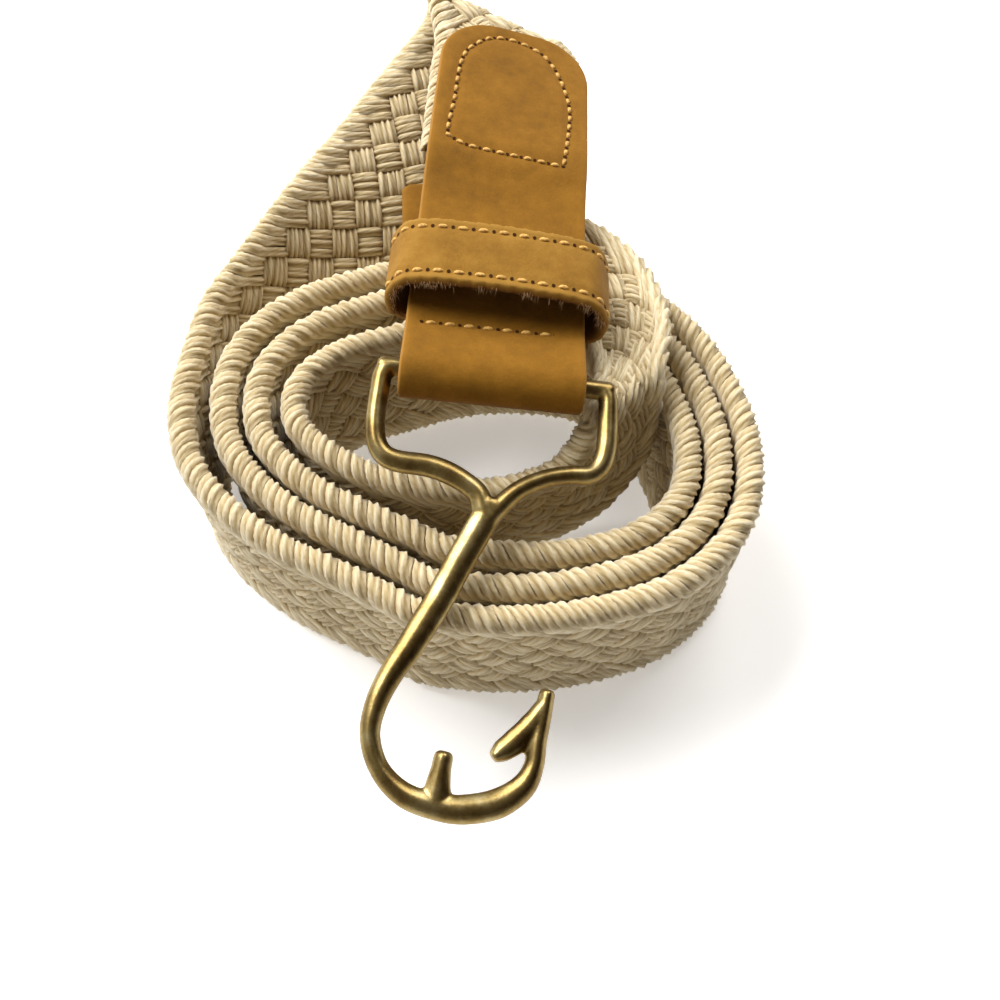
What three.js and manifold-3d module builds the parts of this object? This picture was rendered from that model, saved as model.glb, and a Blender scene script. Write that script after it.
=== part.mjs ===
// Rope belt: a flat cotton braid wound on edge in a loose coil, with a leather tab and keeper, a leather end
// tip and a cast brass hook buckle. Millimetres, +Z up, the belt resting on z = 0, seen from -Y.
import * as THREE from "three";
import { mergeVertices } from "three/addons/utils/BufferGeometryUtils.js";
import Module from "manifold-3d";

// Driving dimensions
const bandWidth = 35; // across the braid, edge rope to edge rope
const ropeThick = 5.4; // thickness at the rope-like edges
const braidThick = 4.4; // thickness of the woven middle
const footFlat = 1.6; // flat that an edge rope presses where it stands
const turnGap = 0.35; // least clear space between neighbouring turns
const routeSpan = 100; // length that the route tables are shares of
const coilReach = 40; // length that the innermost turn's radii are shares of
const coilCentreAcross = -0.04; // centre of the coil, shares of routeSpan
const coilCentreAlong = 1.07;
const turnsAfterFirst = 2; // whole turns wound outside the innermost one
const lastSweep = 85; // degrees that the outermost turn goes on past the front
const pressedShare = 0.66; // thickness share of the braid where leather clamps it
const fit = 0.3; // clear gap between pieces that lie on each other
const tabWidth = 32.8;
const tabLength = 93; // bar centre to rounded end
const tabLeather = 1.8; // thickness of one leather layer of the tab
const tabCorner = 13.5; // radius of the rounded end's corners
const tabCrown = 3; // how far the end bows out between its corners
const pocketLength = 40; // how far the braid reaches into the tab
const pocketShares = [0.05, 0.3, 0.55, 0.775]; // where the pocket's layers get a corner, from the seam out
const tabYaw = -2.8;
const tabRollNear = 6; // degrees, left side up, at the buckle
const tabRollFar = 14; // degrees, left side up, at the rounded end
const keeperWidth = 15; // along the tab
const keeperOuter = 41.4; // across the tab
const keeperCorner = 4.6; // reach of the round of the keeper's lower corners
const keeperRise = 8.8; // top of the loop above the tab's middle plane
const keeperLeather = 2;
const keeperStart = 13.5; // from the bar's centre to the keeper's near edge
const keeperSlant = 0.035; // how far the keeper's right side sits nearer the bar, for each unit across
const tipLeather = 1.3;
const tipLength = 22;
const barRadius = 1.8;
const barClearance = 0.7; // between the bar and the leather round it
const foldSlack = 0.9; // how far the leather stands off the bar at the fold
const castThick = 3.8; // thickness of the buckle's casting
const castCrown = 0.35; // how much thinner the casting is at its edges than along its ridge
const frameLeft = 19.4; // bar middle to the centre line of each side arm
const frameRight = 21.1;
const frameDepth = 17.4; // bar to the centre line of the frame's far side
const frameBarWidth = 3.6;
const hookLength = 73; // bar to the centre line of the bend's lowest point
const bendWidth = 4.4;
const buckleRoll = -6; // degrees about the buckle's length, left side up
const buckleYaw = -3.6; // degrees, seen from above
const buckleDrop = 13.2; // degrees that the hook's end hangs below the bar

// Materials
const cotton = new THREE.MeshStandardMaterial({ color: 0xd9c8a4, roughness: 0.95, metalness: 0 });
const leather = new THREE.MeshStandardMaterial({ color: 0xa8732a, roughness: 0.75, metalness: 0 });
const keeperHide = new THREE.MeshStandardMaterial({ color: 0xb98238, roughness: 0.75, metalness: 0 });
const brass = new THREE.MeshStandardMaterial({ color: 0x9a8640, roughness: 0.38, metalness: 1 });

const wasm = await Module();
wasm.setup();

const radians = THREE.MathUtils.degToRad;
const vector = (x, y, z) => new THREE.Vector3(x, y, z);

// A closed three.js geometry as a solid that can be joined and cut.
function solidOf(geometry) {
  const bare = geometry.clone();
  bare.deleteAttribute("normal");
  bare.deleteAttribute("uv");
  const merged = mergeVertices(bare, 1e-4);
  return new wasm.Manifold(
    new wasm.Mesh({
      numProp: 3,
      vertProperties: merged.attributes.position.array,
      triVerts: new Uint32Array(merged.index.array),
    }),
  );
}

// The solid back as a geometry.
function geometryOf(solid) {
  const mesh = solid.getMesh();
  const positions = new Float32Array(mesh.numVert * 3);
  for (let i = 0; i < mesh.numVert; i++) {
    positions.set(mesh.vertProperties.subarray(i * mesh.numProp, i * mesh.numProp + 3), i * 3);
  }
  const geometry = new THREE.BufferGeometry();
  geometry.setAttribute("position", new THREE.BufferAttribute(positions, 3));
  geometry.setIndex(new THREE.BufferAttribute(new Uint32Array(mesh.triVerts), 1));
  return geometry;
}

// Rings of points joined into a closed skin, with a fan over each end.
function skinOf(rings) {
  const count = rings[0].length;
  const positions = [];
  for (const ring of rings) {
    for (const p of ring) positions.push(p.x, p.y, p.z);
  }
  const index = [];
  for (let r = 0; r + 1 < rings.length; r++) {
    for (let k = 0; k < count; k++) {
      const a = r * count + k;
      const b = r * count + ((k + 1) % count);
      index.push(a, b, b + count, a, b + count, a + count);
    }
  }
  for (const end of [0, rings.length - 1]) {
    const middle = rings[end].reduce((sum, p) => sum.add(p), vector(0, 0, 0)).divideScalar(count);
    const centre = positions.length / 3;
    positions.push(middle.x, middle.y, middle.z);
    for (let k = 0; k < count; k++) {
      const a = end * count + k;
      const b = end * count + ((k + 1) % count);
      if (end === 0) index.push(centre, b, a);
      else index.push(centre, a, b);
    }
  }
  const geometry = new THREE.BufferGeometry();
  geometry.setAttribute("position", new THREE.Float32BufferAttribute(positions, 3));
  geometry.setIndex(index);
  return geometry;
}

// The stack that carries the tab over the coil: end tip, keeper's lower wall, tab.
const tipThick = ropeThick * pressedShare + 2 * (fit + tipLeather);
const tabThick = 2 * tabLeather;
const tabLevel = bandWidth + fit + tipThick + fit + keeperLeather + fit + tabThick / 2;
const barPlace = vector(-0.014 * routeSpan, 1.044 * routeSpan, tabLevel);

// A point of the tab's own frame, x across, y away from the bar, z up, in the belt's frame. The tab rolls
// from its near angle to its far one along its length.
function tabPoint(x, y, z) {
  const share = THREE.MathUtils.smoothstep(y, 0.35 * tabLength, tabLength);
  const roll = radians(tabRollNear + (tabRollFar - tabRollNear) * share);
  const rolled = vector(x * Math.cos(roll) + z * Math.sin(roll), y, z * Math.cos(roll) - x * Math.sin(roll));
  return rolled.applyAxisAngle(vector(0, 0, 1), radians(tabYaw)).add(barPlace);
}

// The braid's route. Each row gives the centre of the upper edge rope (top) and of the lower one (foot):
// across and along are shares of routeSpan, up is a share of bandWidth and lift of ropeThick. The width
// between them is bandWidth times the width column, so the foot columns only give a direction.
const row = (top, foot, width = 1, thick = 1) => ({ top, foot, width, thick });

// From the end tip under the tab, over the turns at the back right, down into the coil's middle.
const tailRows = [
  row([-0.165, 1.29, 1, 0.66], [-0.18, 1.56, 1, 0.66], 0.9, pressedShare),
  row([-0.08, 1.285, 1, 0.66], [-0.08, 1.567, 1, 0.66], 0.94, pressedShare),
  row([0.0, 1.275, 1, 0.66], [0.02, 1.556, 1, 0.66], 0.94, pressedShare),
  row([0.075, 1.25, 1, 0.66], [0.12, 1.53, 1, 0.63], 0.93, pressedShare),
  row([0.14, 1.21, 1, 0.6], [0.212, 1.475, 1, 0.6], 0.88, 0.95),
  row([0.183, 1.16, 1, 0.5], [0.285, 1.385, 1, 0.6], 0.78, 1),
  row([0.196, 1.105, 1, 0.66], [0.316, 1.275, 1, 0.6], 0.66, 1),
  row([0.186, 1.06, 1, 0.74], [0.308, 1.19, 1, 0.82], 0.6, 1),
  row([0.176, 1.015, 1, 0.66], [0.274, 1.09, 1, 0.72], 0.44, 1),
  row([0.164, 0.99, 1, 0.35], [0.268, 1.07, 0.84, 0.5], 0.52, 1),
  row([0.142, 0.965, 0.96, 0.2], [0.272, 1.06, 0.52, 0.5], 0.74, 1),
  row([0.108, 0.938, 0.93, 0], [0.218, 1.025, 0.16, 0.5], 0.94, 1),
  row([0.06, 0.915, 0.923, 0], [0.135, 0.985, 0.077, 0], 1, 1),
  row([0.0, 0.897, 0.923, 0], [0.03, 0.945, 0.077, 0], 1, 1),
];

// The innermost whole turn, clockwise from the front: radius as a share of coilReach.
const firstTurn = [
  { angle: -103, radius: 0.448 },
  { angle: -118, radius: 0.485 },
  { angle: -140, radius: 0.58 },
  { angle: -161, radius: 0.735 },
  { angle: -177, radius: 0.875 },
  { angle: -192, radius: 0.885 },
  { angle: -208, radius: 0.775 },
  { angle: -229, radius: 0.62 },
  { angle: -252, radius: 0.575 },
  { angle: -284, radius: 0.605 },
  { angle: -317, radius: 0.765 },
  { angle: -341, radius: 0.885 },
  { angle: -356, radius: 0.935 },
  { angle: -369, radius: 0.99 },
  { angle: -386, radius: 1.035 },
  { angle: -402, radius: 0.98 },
  { angle: -421, radius: 0.86 },
  { angle: -440, radius: 0.775 },
  { angle: -463, radius: 0.742 },
];

// Looseness outside the first, second and third turn, as shares of ropeThick.
const looseness = [
  { angle: -103, first: 1.12, second: 0.22, third: 0.05 },
  { angle: -117, first: 0.76, second: 0.1, third: 0.1 },
  { angle: -130, first: 0.5, second: 0.04, third: 0.15 },
  { angle: -145, first: 0.32, second: 0.02, third: 0.22 },
  { angle: -175, first: 0.22, second: 0.06, third: 0.4 },
  { angle: -208, first: 0.6, second: 0.36, third: 0.5 },
  { angle: -232, first: 0.7, second: 0.3, third: 0.5 },
  { angle: -275, first: 0.28, second: 0.26, third: 0.5 },
  { angle: -320, first: 0.12, second: 0.08, third: 0.5 },
  { angle: -350, first: 0.0, second: 0.0, third: 0.5 },
  { angle: -410, first: 0.0, second: 0.0, third: 0.5 },
  { angle: -463, first: 0.22, second: 0.05, third: 0.5 },
];

// From the outermost turn's left side up to the fold behind the tab.
const riseRows = [
  row([-0.588, 1.35, 0.923, 0], [-0.553, 1.33, 0.077, 0]),
  row([-0.555, 1.425, 0.93, 0], [-0.48, 1.375, 0.12, 0]),
  row([-0.507, 1.525, 0.95, 0], [-0.375, 1.435, 0.2, 0.1]),
  row([-0.465, 1.61, 0.97, 0], [-0.285, 1.495, 0.32, 0.1]),
  row([-0.412, 1.705, 1, 0], [-0.195, 1.58, 0.5, 0.1]),
  row([-0.352, 1.8, 1, 0.2], [-0.102, 1.665, 0.7, 0.1]),
  row([-0.292, 1.895, 1, 0.6], [-0.022, 1.76, 0.85, 0.1]),
  row([-0.243, 1.965, 1, 0.95], [0.038, 1.83, 0.9, 0.2]),
  row([-0.198, 2.03, 1, 1.25], [0.085, 1.9, 0.93, 0.3]),
  row([-0.16, 2.085, 1, 1.62], [0.12, 1.945, 0.93, 0.6]),
  row([-0.142, 2.12, 1, 2.2], [0.142, 1.975, 0.95, 1.15]),
  row([-0.145, 2.108, 1, 2.85], [0.15, 1.975, 1.05, 1.25]),
];

// Linear reading of a table's column at an angle.
function readAt(table, angle, column) {
  for (let i = 0; i + 1 < table.length; i++) {
    const here = table[i];
    const next = table[i + 1];
    if (angle <= here.angle && angle >= next.angle) {
      const share = (here.angle - angle) / (here.angle - next.angle);
      return here[column] + (next[column] - here[column]) * THREE.MathUtils.smoothstep(share, 0, 1);
    }
  }
  return angle > table[0].angle ? table[0][column] : table[table.length - 1][column];
}

// The middle line of the coil's turns in plan. The first turn is a smooth curve through its radii, and each
// later turn is the one inside it moved out along its own normal by the braid's thickness and a gap.
function coilLine() {
  const centre = vector(coilCentreAcross * routeSpan, coilCentreAlong * routeSpan, 0);
  const points = firstTurn.map(({ angle, radius }) => {
    const a = radians(angle);
    return vector(centre.x + coilReach * radius * Math.cos(a), centre.y + coilReach * radius * Math.sin(a), 0);
  });
  const curve = new THREE.CatmullRomCurve3(points, false, "centripetal");
  const steps = 40;
  const line = [];
  for (let i = 0; i <= steps; i++) line.push(curve.getPointAt(i / steps));
  const angleOf = (p) => THREE.MathUtils.radToDeg(Math.atan2(p.y - centre.y, p.x - centre.x));
  let unwound = firstTurn[0].angle;
  const angles = line.map((p) => {
    let angle = angleOf(p);
    while (angle > unwound + 30) angle -= 360;
    unwound = angle;
    return angle;
  });
  for (let i = 1; i < line.length && i < 400; i++) {
    const last = firstTurn[0].angle - 360 * (turnsAfterFirst + 1) - lastSweep;
    const normal = vector(line[i + 1].y - line[i - 1].y, line[i - 1].x - line[i + 1].x, 0).normalize();
    if (normal.dot(line[i].clone().sub(centre)) < 0) normal.negate();
    const turn = Math.min(2, Math.floor((firstTurn[0].angle - angles[i]) / 360));
    const column = ["first", "second", "third"][turn];
    const pitch = ropeThick * (1 + readAt(looseness, angles[i] + 360 * turn, column)) + turnGap;
    const next = line[i].clone().addScaledVector(normal, pitch);
    let angle = angleOf(next);
    while (angle > angles[i] - 300) angle -= 360;
    if (angle < angles[angles.length - 1] - 3) {
      line.push(next);
      angles.push(angle);
    }
    if (angle < last) break;
  }
  return line;
}

// The braid's stations: upper rope, lower rope and thickness share, from the tip to the tab.
function routeStations() {
  const place = ([across, along, up, lift]) =>
    vector(across * routeSpan, along * routeSpan, up * bandWidth + lift * ropeThick);
  const span = bandWidth - ropeThick;
  const rows = [];
  const add = (top, foot, width, thick) => {
    const reach = foot.clone().sub(top).setLength(span * width);
    rows.push({ top, foot: reach, thick });
  };
  for (const r of tailRows) add(place(r.top), place(r.foot), r.width, r.thick);
  const topLevel = bandWidth - ropeThick / 2;
  for (const p of coilLine()) {
    add(vector(p.x, p.y, topLevel), vector(p.x, p.y, ropeThick / 2), 1, 1);
  }
  for (const r of riseRows) add(place(r.top), place(r.foot), r.width, r.thick);
  const inside = (y) => {
    const top = tabPoint(-span / 2 - 0.8, y, 0);
    return { top, foot: tabPoint(span / 2 - 0.8, y, 0).sub(top) };
  };
  for (const share of [0.1, 0.35, 0.675, 0.95]) {
    rows.push({ ...inside(tabLength - share * pocketLength), thick: pressedShare });
  }
  return rows;
}

const stationStep = 8; // spacing of the solid's sections along the braid

// Even stations along the route with the section's axes: w up the braid's width, n through its thickness.
function evenStations() {
  const rows = routeStations();
  const tops = new THREE.CatmullRomCurve3(rows.map((r) => r.top), false, "centripetal");
  const feet = new THREE.CatmullRomCurve3(rows.map((r) => r.foot), false, "catmullrom");
  const middle = (t) => tops.getPoint(t).addScaledVector(feet.getPoint(t), 0.5);
  const fine = rows.length * 12;
  const lengths = [0];
  for (let i = 1; i <= fine; i++) {
    const here = middle(i / fine);
    const before = middle((i - 1) / fine);
    const turn = tops.getPoint(i / fine).distanceTo(tops.getPoint((i - 1) / fine));
    lengths.push(lengths[i - 1] + Math.max(here.distanceTo(before), turn));
  }
  const total = lengths[fine];
  const count = Math.round(total / stationStep);
  const stations = [];
  for (let k = 0, i = 1; k <= count; k++) {
    const wanted = (total * k) / count;
    while (i < fine && lengths[i] < wanted) i++;
    const share = (wanted - lengths[i - 1]) / (lengths[i] - lengths[i - 1]);
    const t = Math.min(1, (i - 1 + share) / fine);
    const at = t * (rows.length - 1);
    const low = Math.min(rows.length - 2, Math.floor(at));
    const thick = THREE.MathUtils.lerp(rows[low].thick, rows[low + 1].thick, at - low);
    const foot = feet.getPoint(t);
    const step = 0.5 / fine;
    const tangent = middle(Math.min(1, t + step)).sub(middle(Math.max(0, t - step))).normalize();
    const w = foot.clone().normalize().negate();
    const n = tangent.clone().cross(w).normalize();
    const half = foot.length() / 2;
    const centre = middle(t);
    const sunk = (half + ropeThick / 2) * Math.abs(w.z) + (footFlat / 2) * Math.abs(n.z) - centre.z;
    centre.z += Math.max(0, sunk);
    stations.push({ middle: centre, tangent, w, n, half, thick });
  }
  return stations;
}

// The braid's section: two edge ropes, the upper one round and the lower one flat where it stands, and a
// thinner woven middle. Points go round from the lower flat.
function braidRing({ middle, w, n, half, thick }) {
  const rope = (ropeThick / 2) * thick;
  const body = (braidThick / 2) * thick;
  const neck = half - ropeThick * 0.55;
  const flat = footFlat / 2;
  const side = 0.5 * ropeThick;
  const halfRing = [
    [-half - side, flat],
    [-half - side * 0.62, rope * 0.8],
    [-half, rope],
    [-neck, body],
    [neck, body],
    [half, rope],
    [half + side * 0.7, rope * 0.7],
    [half + side, rope * 0.24],
  ];
  const mirrored = halfRing.map(([v, h]) => [v, -h]).reverse();
  const ring = [...mirrored.reverse(), ...halfRing.reverse()];
  return ring.map(([v, h]) => middle.clone().addScaledVector(w, v).addScaledVector(n, h));
}

const stations = evenStations();

function braidedBand() {
  return skinOf(stations.map(braidRing));
}

// The leather tip: two layers round the braid's free end, closed at the far side.
function endTip() {
  const stretch = stations[1].middle.distanceTo(stations[0].middle);
  const covered = stations.slice(0, Math.ceil(tipLength / stretch));
  const first = covered[0];
  const ringAt = (s, wide, high) => {
    const edge = 1.4;
    const outline = [
      [-wide, high - edge],
      [-wide + edge, high],
      [wide - edge, high],
      [wide, high - edge],
    ];
    const all = [...outline.map(([v, h]) => [v, -h]), ...outline.reverse()];
    return all.map(([v, h]) => s.middle.clone().addScaledVector(s.w, v).addScaledVector(s.n, h));
  };
  const cover = (extra, height, past) => {
    const ahead = { ...first, middle: first.middle.clone().addScaledVector(first.tangent, -past) };
    const corner = { ...first, middle: first.middle.clone().addScaledVector(first.tangent, -past * 0.4) };
    const wide = (s) => s.half + ropeThick / 2 + extra;
    const rings = [ringAt(ahead, wide(first) - past * 0.6, height), ringAt(corner, wide(first), height)];
    for (const s of covered) rings.push(ringAt(s, wide(s), height));
    return solidOf(skinOf(rings));
  };
  const inner = (ropeThick / 2) * pressedShare + fit;
  const hollowRings = [ringAt({ ...first, middle: first.middle.clone().addScaledVector(first.tangent, -fit) },
    first.half + ropeThick / 2 + fit, inner)];
  for (const s of covered) hollowRings.push(ringAt(s, s.half + ropeThick / 2 + fit, inner));
  const last = covered[covered.length - 1];
  const beyond = { ...last, middle: last.middle.clone().addScaledVector(last.tangent, 2) };
  hollowRings.push(ringAt(beyond, last.half + ropeThick / 2 + fit, inner));
  return geometryOf(cover(fit + tipLeather, inner + tipLeather, 2.5).subtract(solidOf(skinOf(hollowRings))));
}

// Each vertex of a piece made in the tab's frame, moved to its place.
function seatOnTab(geometry) {
  const positions = geometry.getAttribute("position");
  for (let i = 0; i < positions.count; i++) {
    const p = tabPoint(positions.getX(i), positions.getY(i), positions.getZ(i));
    positions.setXYZ(i, p.x, p.y, p.z);
  }
  return geometry;
}

// A side view (along, up) pushed across by its width, in the tab's frame.
function acrossTab(shape, width, steps) {
  const geometry = new THREE.ExtrudeGeometry(shape, { depth: width, bevelEnabled: false, steps, curveSegments: 10 });
  geometry.applyMatrix4(new THREE.Matrix4().makeBasis(vector(0, 1, 0), vector(0, 0, 1), vector(1, 0, 0)));
  geometry.translate(-width / 2, 0, 0);
  return solidOf(geometry);
}

// The tab: one strip folded round the bar, its layers sewn together and parting at the rounded end, where the
// braid goes in.
function leatherTab() {
  const eye = barRadius + barClearance;
  const bend = eye + tabLeather;
  const half = tabLeather;
  const pocket = (ropeThick / 2) * pressedShare + fit;
  const open = pocket + tabLeather;
  const seam = tabLength - pocketLength;
  const outward = pocketShares.map((share) => seam + share * pocketLength);
  const inward = outward.toReversed();
  const side = new THREE.Shape();
  side.moveTo(3 * bend, half);
  side.lineTo(1.3 * bend, bend * 0.72);
  side.lineTo(bend * 0.35, bend * 0.94);
  side.absarc(-foldSlack, 0, bend, radians(80), radians(280), false);
  side.lineTo(bend * 0.35, -bend * 0.94);
  side.lineTo(1.3 * bend, -bend * 0.72);
  side.lineTo(3 * bend, -half);
  for (let y = 4 * bend; y < seam - 0.35 * pocketLength; y += 6) side.lineTo(y, -half);
  side.lineTo(seam - 0.3 * pocketLength, -half);
  side.lineTo(seam - 0.15 * pocketLength, -half - (open - half) * 0.35);
  for (const y of outward) side.lineTo(y, -open);
  side.lineTo(tabLength + 1, -open);
  side.lineTo(tabLength + 1, -pocket);
  for (const y of inward) side.lineTo(y, -pocket);
  side.lineTo(seam, 0);
  for (const y of outward) side.lineTo(y, pocket);
  side.lineTo(tabLength + 1, pocket);
  side.lineTo(tabLength + 1, open);
  for (const y of inward) side.lineTo(y, open);
  side.lineTo(seam - 0.15 * pocketLength, half + (open - half) * 0.35);
  side.lineTo(seam - 0.3 * pocketLength, half);
  for (let y = seam - 0.45 * pocketLength; y > 4 * bend; y -= 6) side.lineTo(y, half);
  side.closePath();
  const hole = new THREE.Path();
  hole.absarc(0, 0, eye, radians(90), radians(-90), true);
  hole.absarc(-foldSlack, 0, eye, radians(270), radians(90), true);
  side.holes.push(hole);

  const plan = new THREE.Shape();
  const reach = tabWidth / 2;
  plan.moveTo(-reach, -2 * bend);
  plan.lineTo(reach, -2 * bend);
  plan.lineTo(reach, tabLength - tabCorner - tabCrown);
  plan.quadraticCurveTo(reach, tabLength - tabCrown, reach - tabCorner, tabLength - tabCrown * 0.3);
  plan.quadraticCurveTo(0, tabLength + tabCrown * 0.3, -reach + tabCorner, tabLength - tabCrown * 0.3);
  plan.quadraticCurveTo(-reach, tabLength - tabCrown, -reach, tabLength - tabCorner - tabCrown);
  plan.closePath();
  const cutter = new THREE.ExtrudeGeometry(plan, { depth: 6 * bend, bevelEnabled: false, curveSegments: 8 });
  cutter.translate(0, 0, -3 * bend);
  const tab = acrossTab(side, tabWidth + 2, 6).intersect(solidOf(cutter));
  return seatOnTab(geometryOf(tab));
}

// The keeper: a loose loop of leather standing up from the tab.
function keeperLoop() {
  const reach = keeperOuter / 2;
  const floor = -(tabThick / 2 + fit + keeperLeather);
  const loop = (inset) => {
    const path = new THREE.Shape();
    const low = keeperCorner - inset * 0.9;
    const high = 6.5 - inset;
    const left = -reach + inset;
    const right = reach - inset;
    const bottom = floor + inset;
    const top = keeperRise - inset;
    path.moveTo(left + low, bottom);
    path.lineTo(0, bottom);
    path.lineTo(right - low, bottom);
    path.quadraticCurveTo(right, bottom, right, bottom + low);
    path.lineTo(right, top - high);
    path.quadraticCurveTo(right - high * 0.2, top - high * 0.12, right - high * 1.2, top - 0.3);
    path.lineTo(0, top + 0.3);
    path.lineTo(left + high * 1.2, top - 0.3);
    path.quadraticCurveTo(left + high * 0.2, top - high * 0.12, left, top - high);
    path.lineTo(left, bottom + low);
    path.quadraticCurveTo(left, bottom, left + low, bottom);
    return path;
  };
  const ring = loop(0);
  ring.holes.push(new THREE.Path(loop(keeperLeather).getPoints(6)));
  const geometry = new THREE.ExtrudeGeometry(ring, {
    depth: keeperWidth,
    bevelEnabled: false,
    steps: 3,
    curveSegments: 6,
  });
  geometry.applyMatrix4(new THREE.Matrix4().makeBasis(vector(1, 0, 0), vector(0, 0, 1), vector(0, -1, 0)));
  geometry.translate(0, keeperStart + keeperWidth, 0);
  geometry.applyMatrix4(new THREE.Matrix4().makeShear(-keeperSlant, 0, 0, 0, 0, 0));
  return seatOnTab(geometryOf(solidOf(geometry)));
}

// A rod lying in the buckle's plane: a smooth line through points [across, down, width], with a rounded
// rectangular section and rounded ends.
function castRod(points, thick = castThick, perSpan = 4) {
  const curve = new THREE.CatmullRomCurve3(points.map(([x, y]) => vector(x, -y, 0)), false, "centripetal");
  const spans = points.length - 1;
  const count = spans * perSpan;
  const sides = 12;
  const rings = [];
  const ringAt = (centre, tangent, halfWidth, halfThick) => {
    const sideways = vector(-tangent.y, tangent.x, 0);
    const ring = [];
    for (let k = 0; k < sides; k++) {
      const a = (2 * Math.PI * (k + 0.5)) / sides;
      const round = (value) => Math.sign(value) * Math.pow(Math.abs(value), 0.7);
      const p = centre.clone().addScaledVector(sideways, halfWidth * round(Math.cos(a)));
      const height = halfThick * (1 - castCrown * Math.abs(round(Math.cos(a))));
      ring.push(p.add(vector(0, 0, height * round(Math.sin(a)))));
    }
    return ring;
  };
  for (let i = 0; i <= count; i++) {
    const t = i / count;
    const low = Math.min(spans - 1, Math.floor(t * spans));
    const width = THREE.MathUtils.lerp(points[low][2], points[low + 1][2], t * spans - low);
    const tangent = curve.getTangent(t);
    const centre = curve.getPoint(t);
    const end = i === 0 ? -1 : i === count ? 1 : 0;
    const closer = centre.clone().addScaledVector(tangent, end * width * 0.28);
    if (end < 0) rings.push(ringAt(closer, tangent, width * 0.3, thick * 0.3));
    rings.push(ringAt(centre, tangent, width / 2, thick / 2));
    if (end > 0) rings.push(ringAt(closer, tangent, width * 0.3, thick * 0.3));
  }
  return solidOf(skinOf(rings));
}

// The hook's line below the frame: across and down as shares of hookLength, width as a share of bendWidth.
const hookLine = [
  { across: 0.026, down: 0.321, width: 1 },
  { across: 0.007, down: 0.37, width: 1.159 },
  { across: -0.032, down: 0.458, width: 1.148 },
  { across: -0.07, down: 0.551, width: 1.114 },
  { across: -0.1, down: 0.614, width: 1.102 },
  { across: -0.132, down: 0.679, width: 1.045 },
  { across: -0.16, down: 0.73, width: 0.943 },
  { across: -0.185, down: 0.799, width: 0.841 },
  { across: -0.19, down: 0.864, width: 0.75 },
  { across: -0.162, down: 0.932, width: 0.75 },
  { across: -0.104, down: 0.981, width: 0.886 },
  { across: -0.019, down: 1.001, width: 1 },
  { across: 0.032, down: 1, width: 1.057 },
  { across: 0.101, down: 0.981, width: 1.08 },
  { across: 0.152, down: 0.941, width: 0.932 },
  { across: 0.17, down: 0.899, width: 0.75 },
  { across: 0.174, down: 0.847, width: 0.727 },
  { across: 0.181, down: 0.797, width: 0.682 },
  { across: 0.188, down: 0.742, width: 0.614 },
];
const barbLine = [
  { across: 0.181, down: 0.767, width: 0.591 },
  { across: 0.158, down: 0.811, width: 0.886 },
  { across: 0.127, down: 0.849, width: 0.977 },
  { across: 0.097, down: 0.874, width: 0.818 },
  { across: 0.085, down: 0.884, width: 0.568 },
];
const stubLine = [
  { across: -0.034, down: 0.986, width: 1.182 },
  { across: -0.033, down: 0.959, width: 0.955 },
  { across: -0.03, down: 0.923, width: 0.75 },
  { across: -0.027, down: 0.896, width: 0.727 },
];
// Each side of the frame, from the bar to the shank: across as a share of that side's reach, down as a share of
// frameDepth, width as a share of frameBarWidth.
const leftSide = [
  { across: 0.954, down: 0.017, width: 1 },
  { across: 0.99, down: 0.092, width: 1 },
  { across: 1, down: 0.259, width: 0.972 },
  { across: 1, down: 0.621, width: 0.972 },
  { across: 0.961, down: 0.839, width: 1 },
  { across: 0.887, down: 0.948, width: 1.056 },
  { across: 0.778, down: 0.994, width: 1.111 },
  { across: 0.49, down: 1.011, width: 1.139 },
  { across: 0.32, down: 1.057, width: 1.139 },
  { across: 0.16, down: 1.138, width: 1.083 },
  { across: 0.026, down: 1.247, width: 1.056 },
  { across: -0.036, down: 1.414, width: 1.167 },
];
const rightSide = [
  { across: 0.957, down: 0.017, width: 1 },
  { across: 0.991, down: 0.092, width: 1 },
  { across: 1, down: 0.259, width: 1.028 },
  { across: 1, down: 0.644, width: 1.028 },
  { across: 0.962, down: 0.822, width: 1.028 },
  { across: 0.882, down: 0.92, width: 1 },
  { across: 0.706, down: 0.954, width: 0.972 },
  { across: 0.517, down: 1.017, width: 0.944 },
  { across: 0.313, down: 1.155, width: 0.944 },
  { across: 0.175, down: 1.328, width: 1 },
  { across: 0.075, down: 1.494, width: 1 },
];

// The buckle: one casting, its bar on the x axis, its hook towards -y.
function hookBuckle() {
  const along = (line) =>
    line.map(({ across, down, width }) => [across * hookLength, down * hookLength, width * bendWidth]);
  const bar = castRod([[-frameLeft, 0, 2 * barRadius], [0, 0, 2 * barRadius], [frameRight, 0, 2 * barRadius]],
    2 * barRadius, 2);
  const side = (sign, reach, line) => castRod(line.map(({ across, down, width }) =>
    [sign * across * reach, down * frameDepth, width * frameBarWidth]), castThick, 3);
  return geometryOf(
    bar
      .add(side(-1, frameLeft, leftSide))
      .add(side(1, frameRight, rightSide))
      .add(castRod(along(hookLine), castThick, 3))
      .add(castRod(along(barbLine), castThick * 0.94, 3))
      .add(castRod(along(stubLine), castThick * 0.94, 2)),
  );
}

// The assembly
const group = new THREE.Group();
const belt = new THREE.Group();
group.add(belt);

function addMesh(name, geometry, material) {
  const bare = geometry.index ? geometry : mergeVertices(geometry);
  bare.computeVertexNormals();
  const mesh = new THREE.Mesh(bare, material);
  mesh.name = name;
  belt.add(mesh);
  return mesh;
}

addMesh("braided_band", braidedBand(), cotton);
addMesh("end_tip", endTip(), leather);
addMesh("leather_tab", leatherTab(), leather);
addMesh("keeper_loop", keeperLoop(), keeperHide);
const buckle = addMesh("hook_buckle", hookBuckle(), brass);
buckle.position.copy(barPlace);
buckle.rotation.set(radians(buckleDrop), radians(-buckleRoll), radians(buckleYaw), "ZYX");

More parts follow.
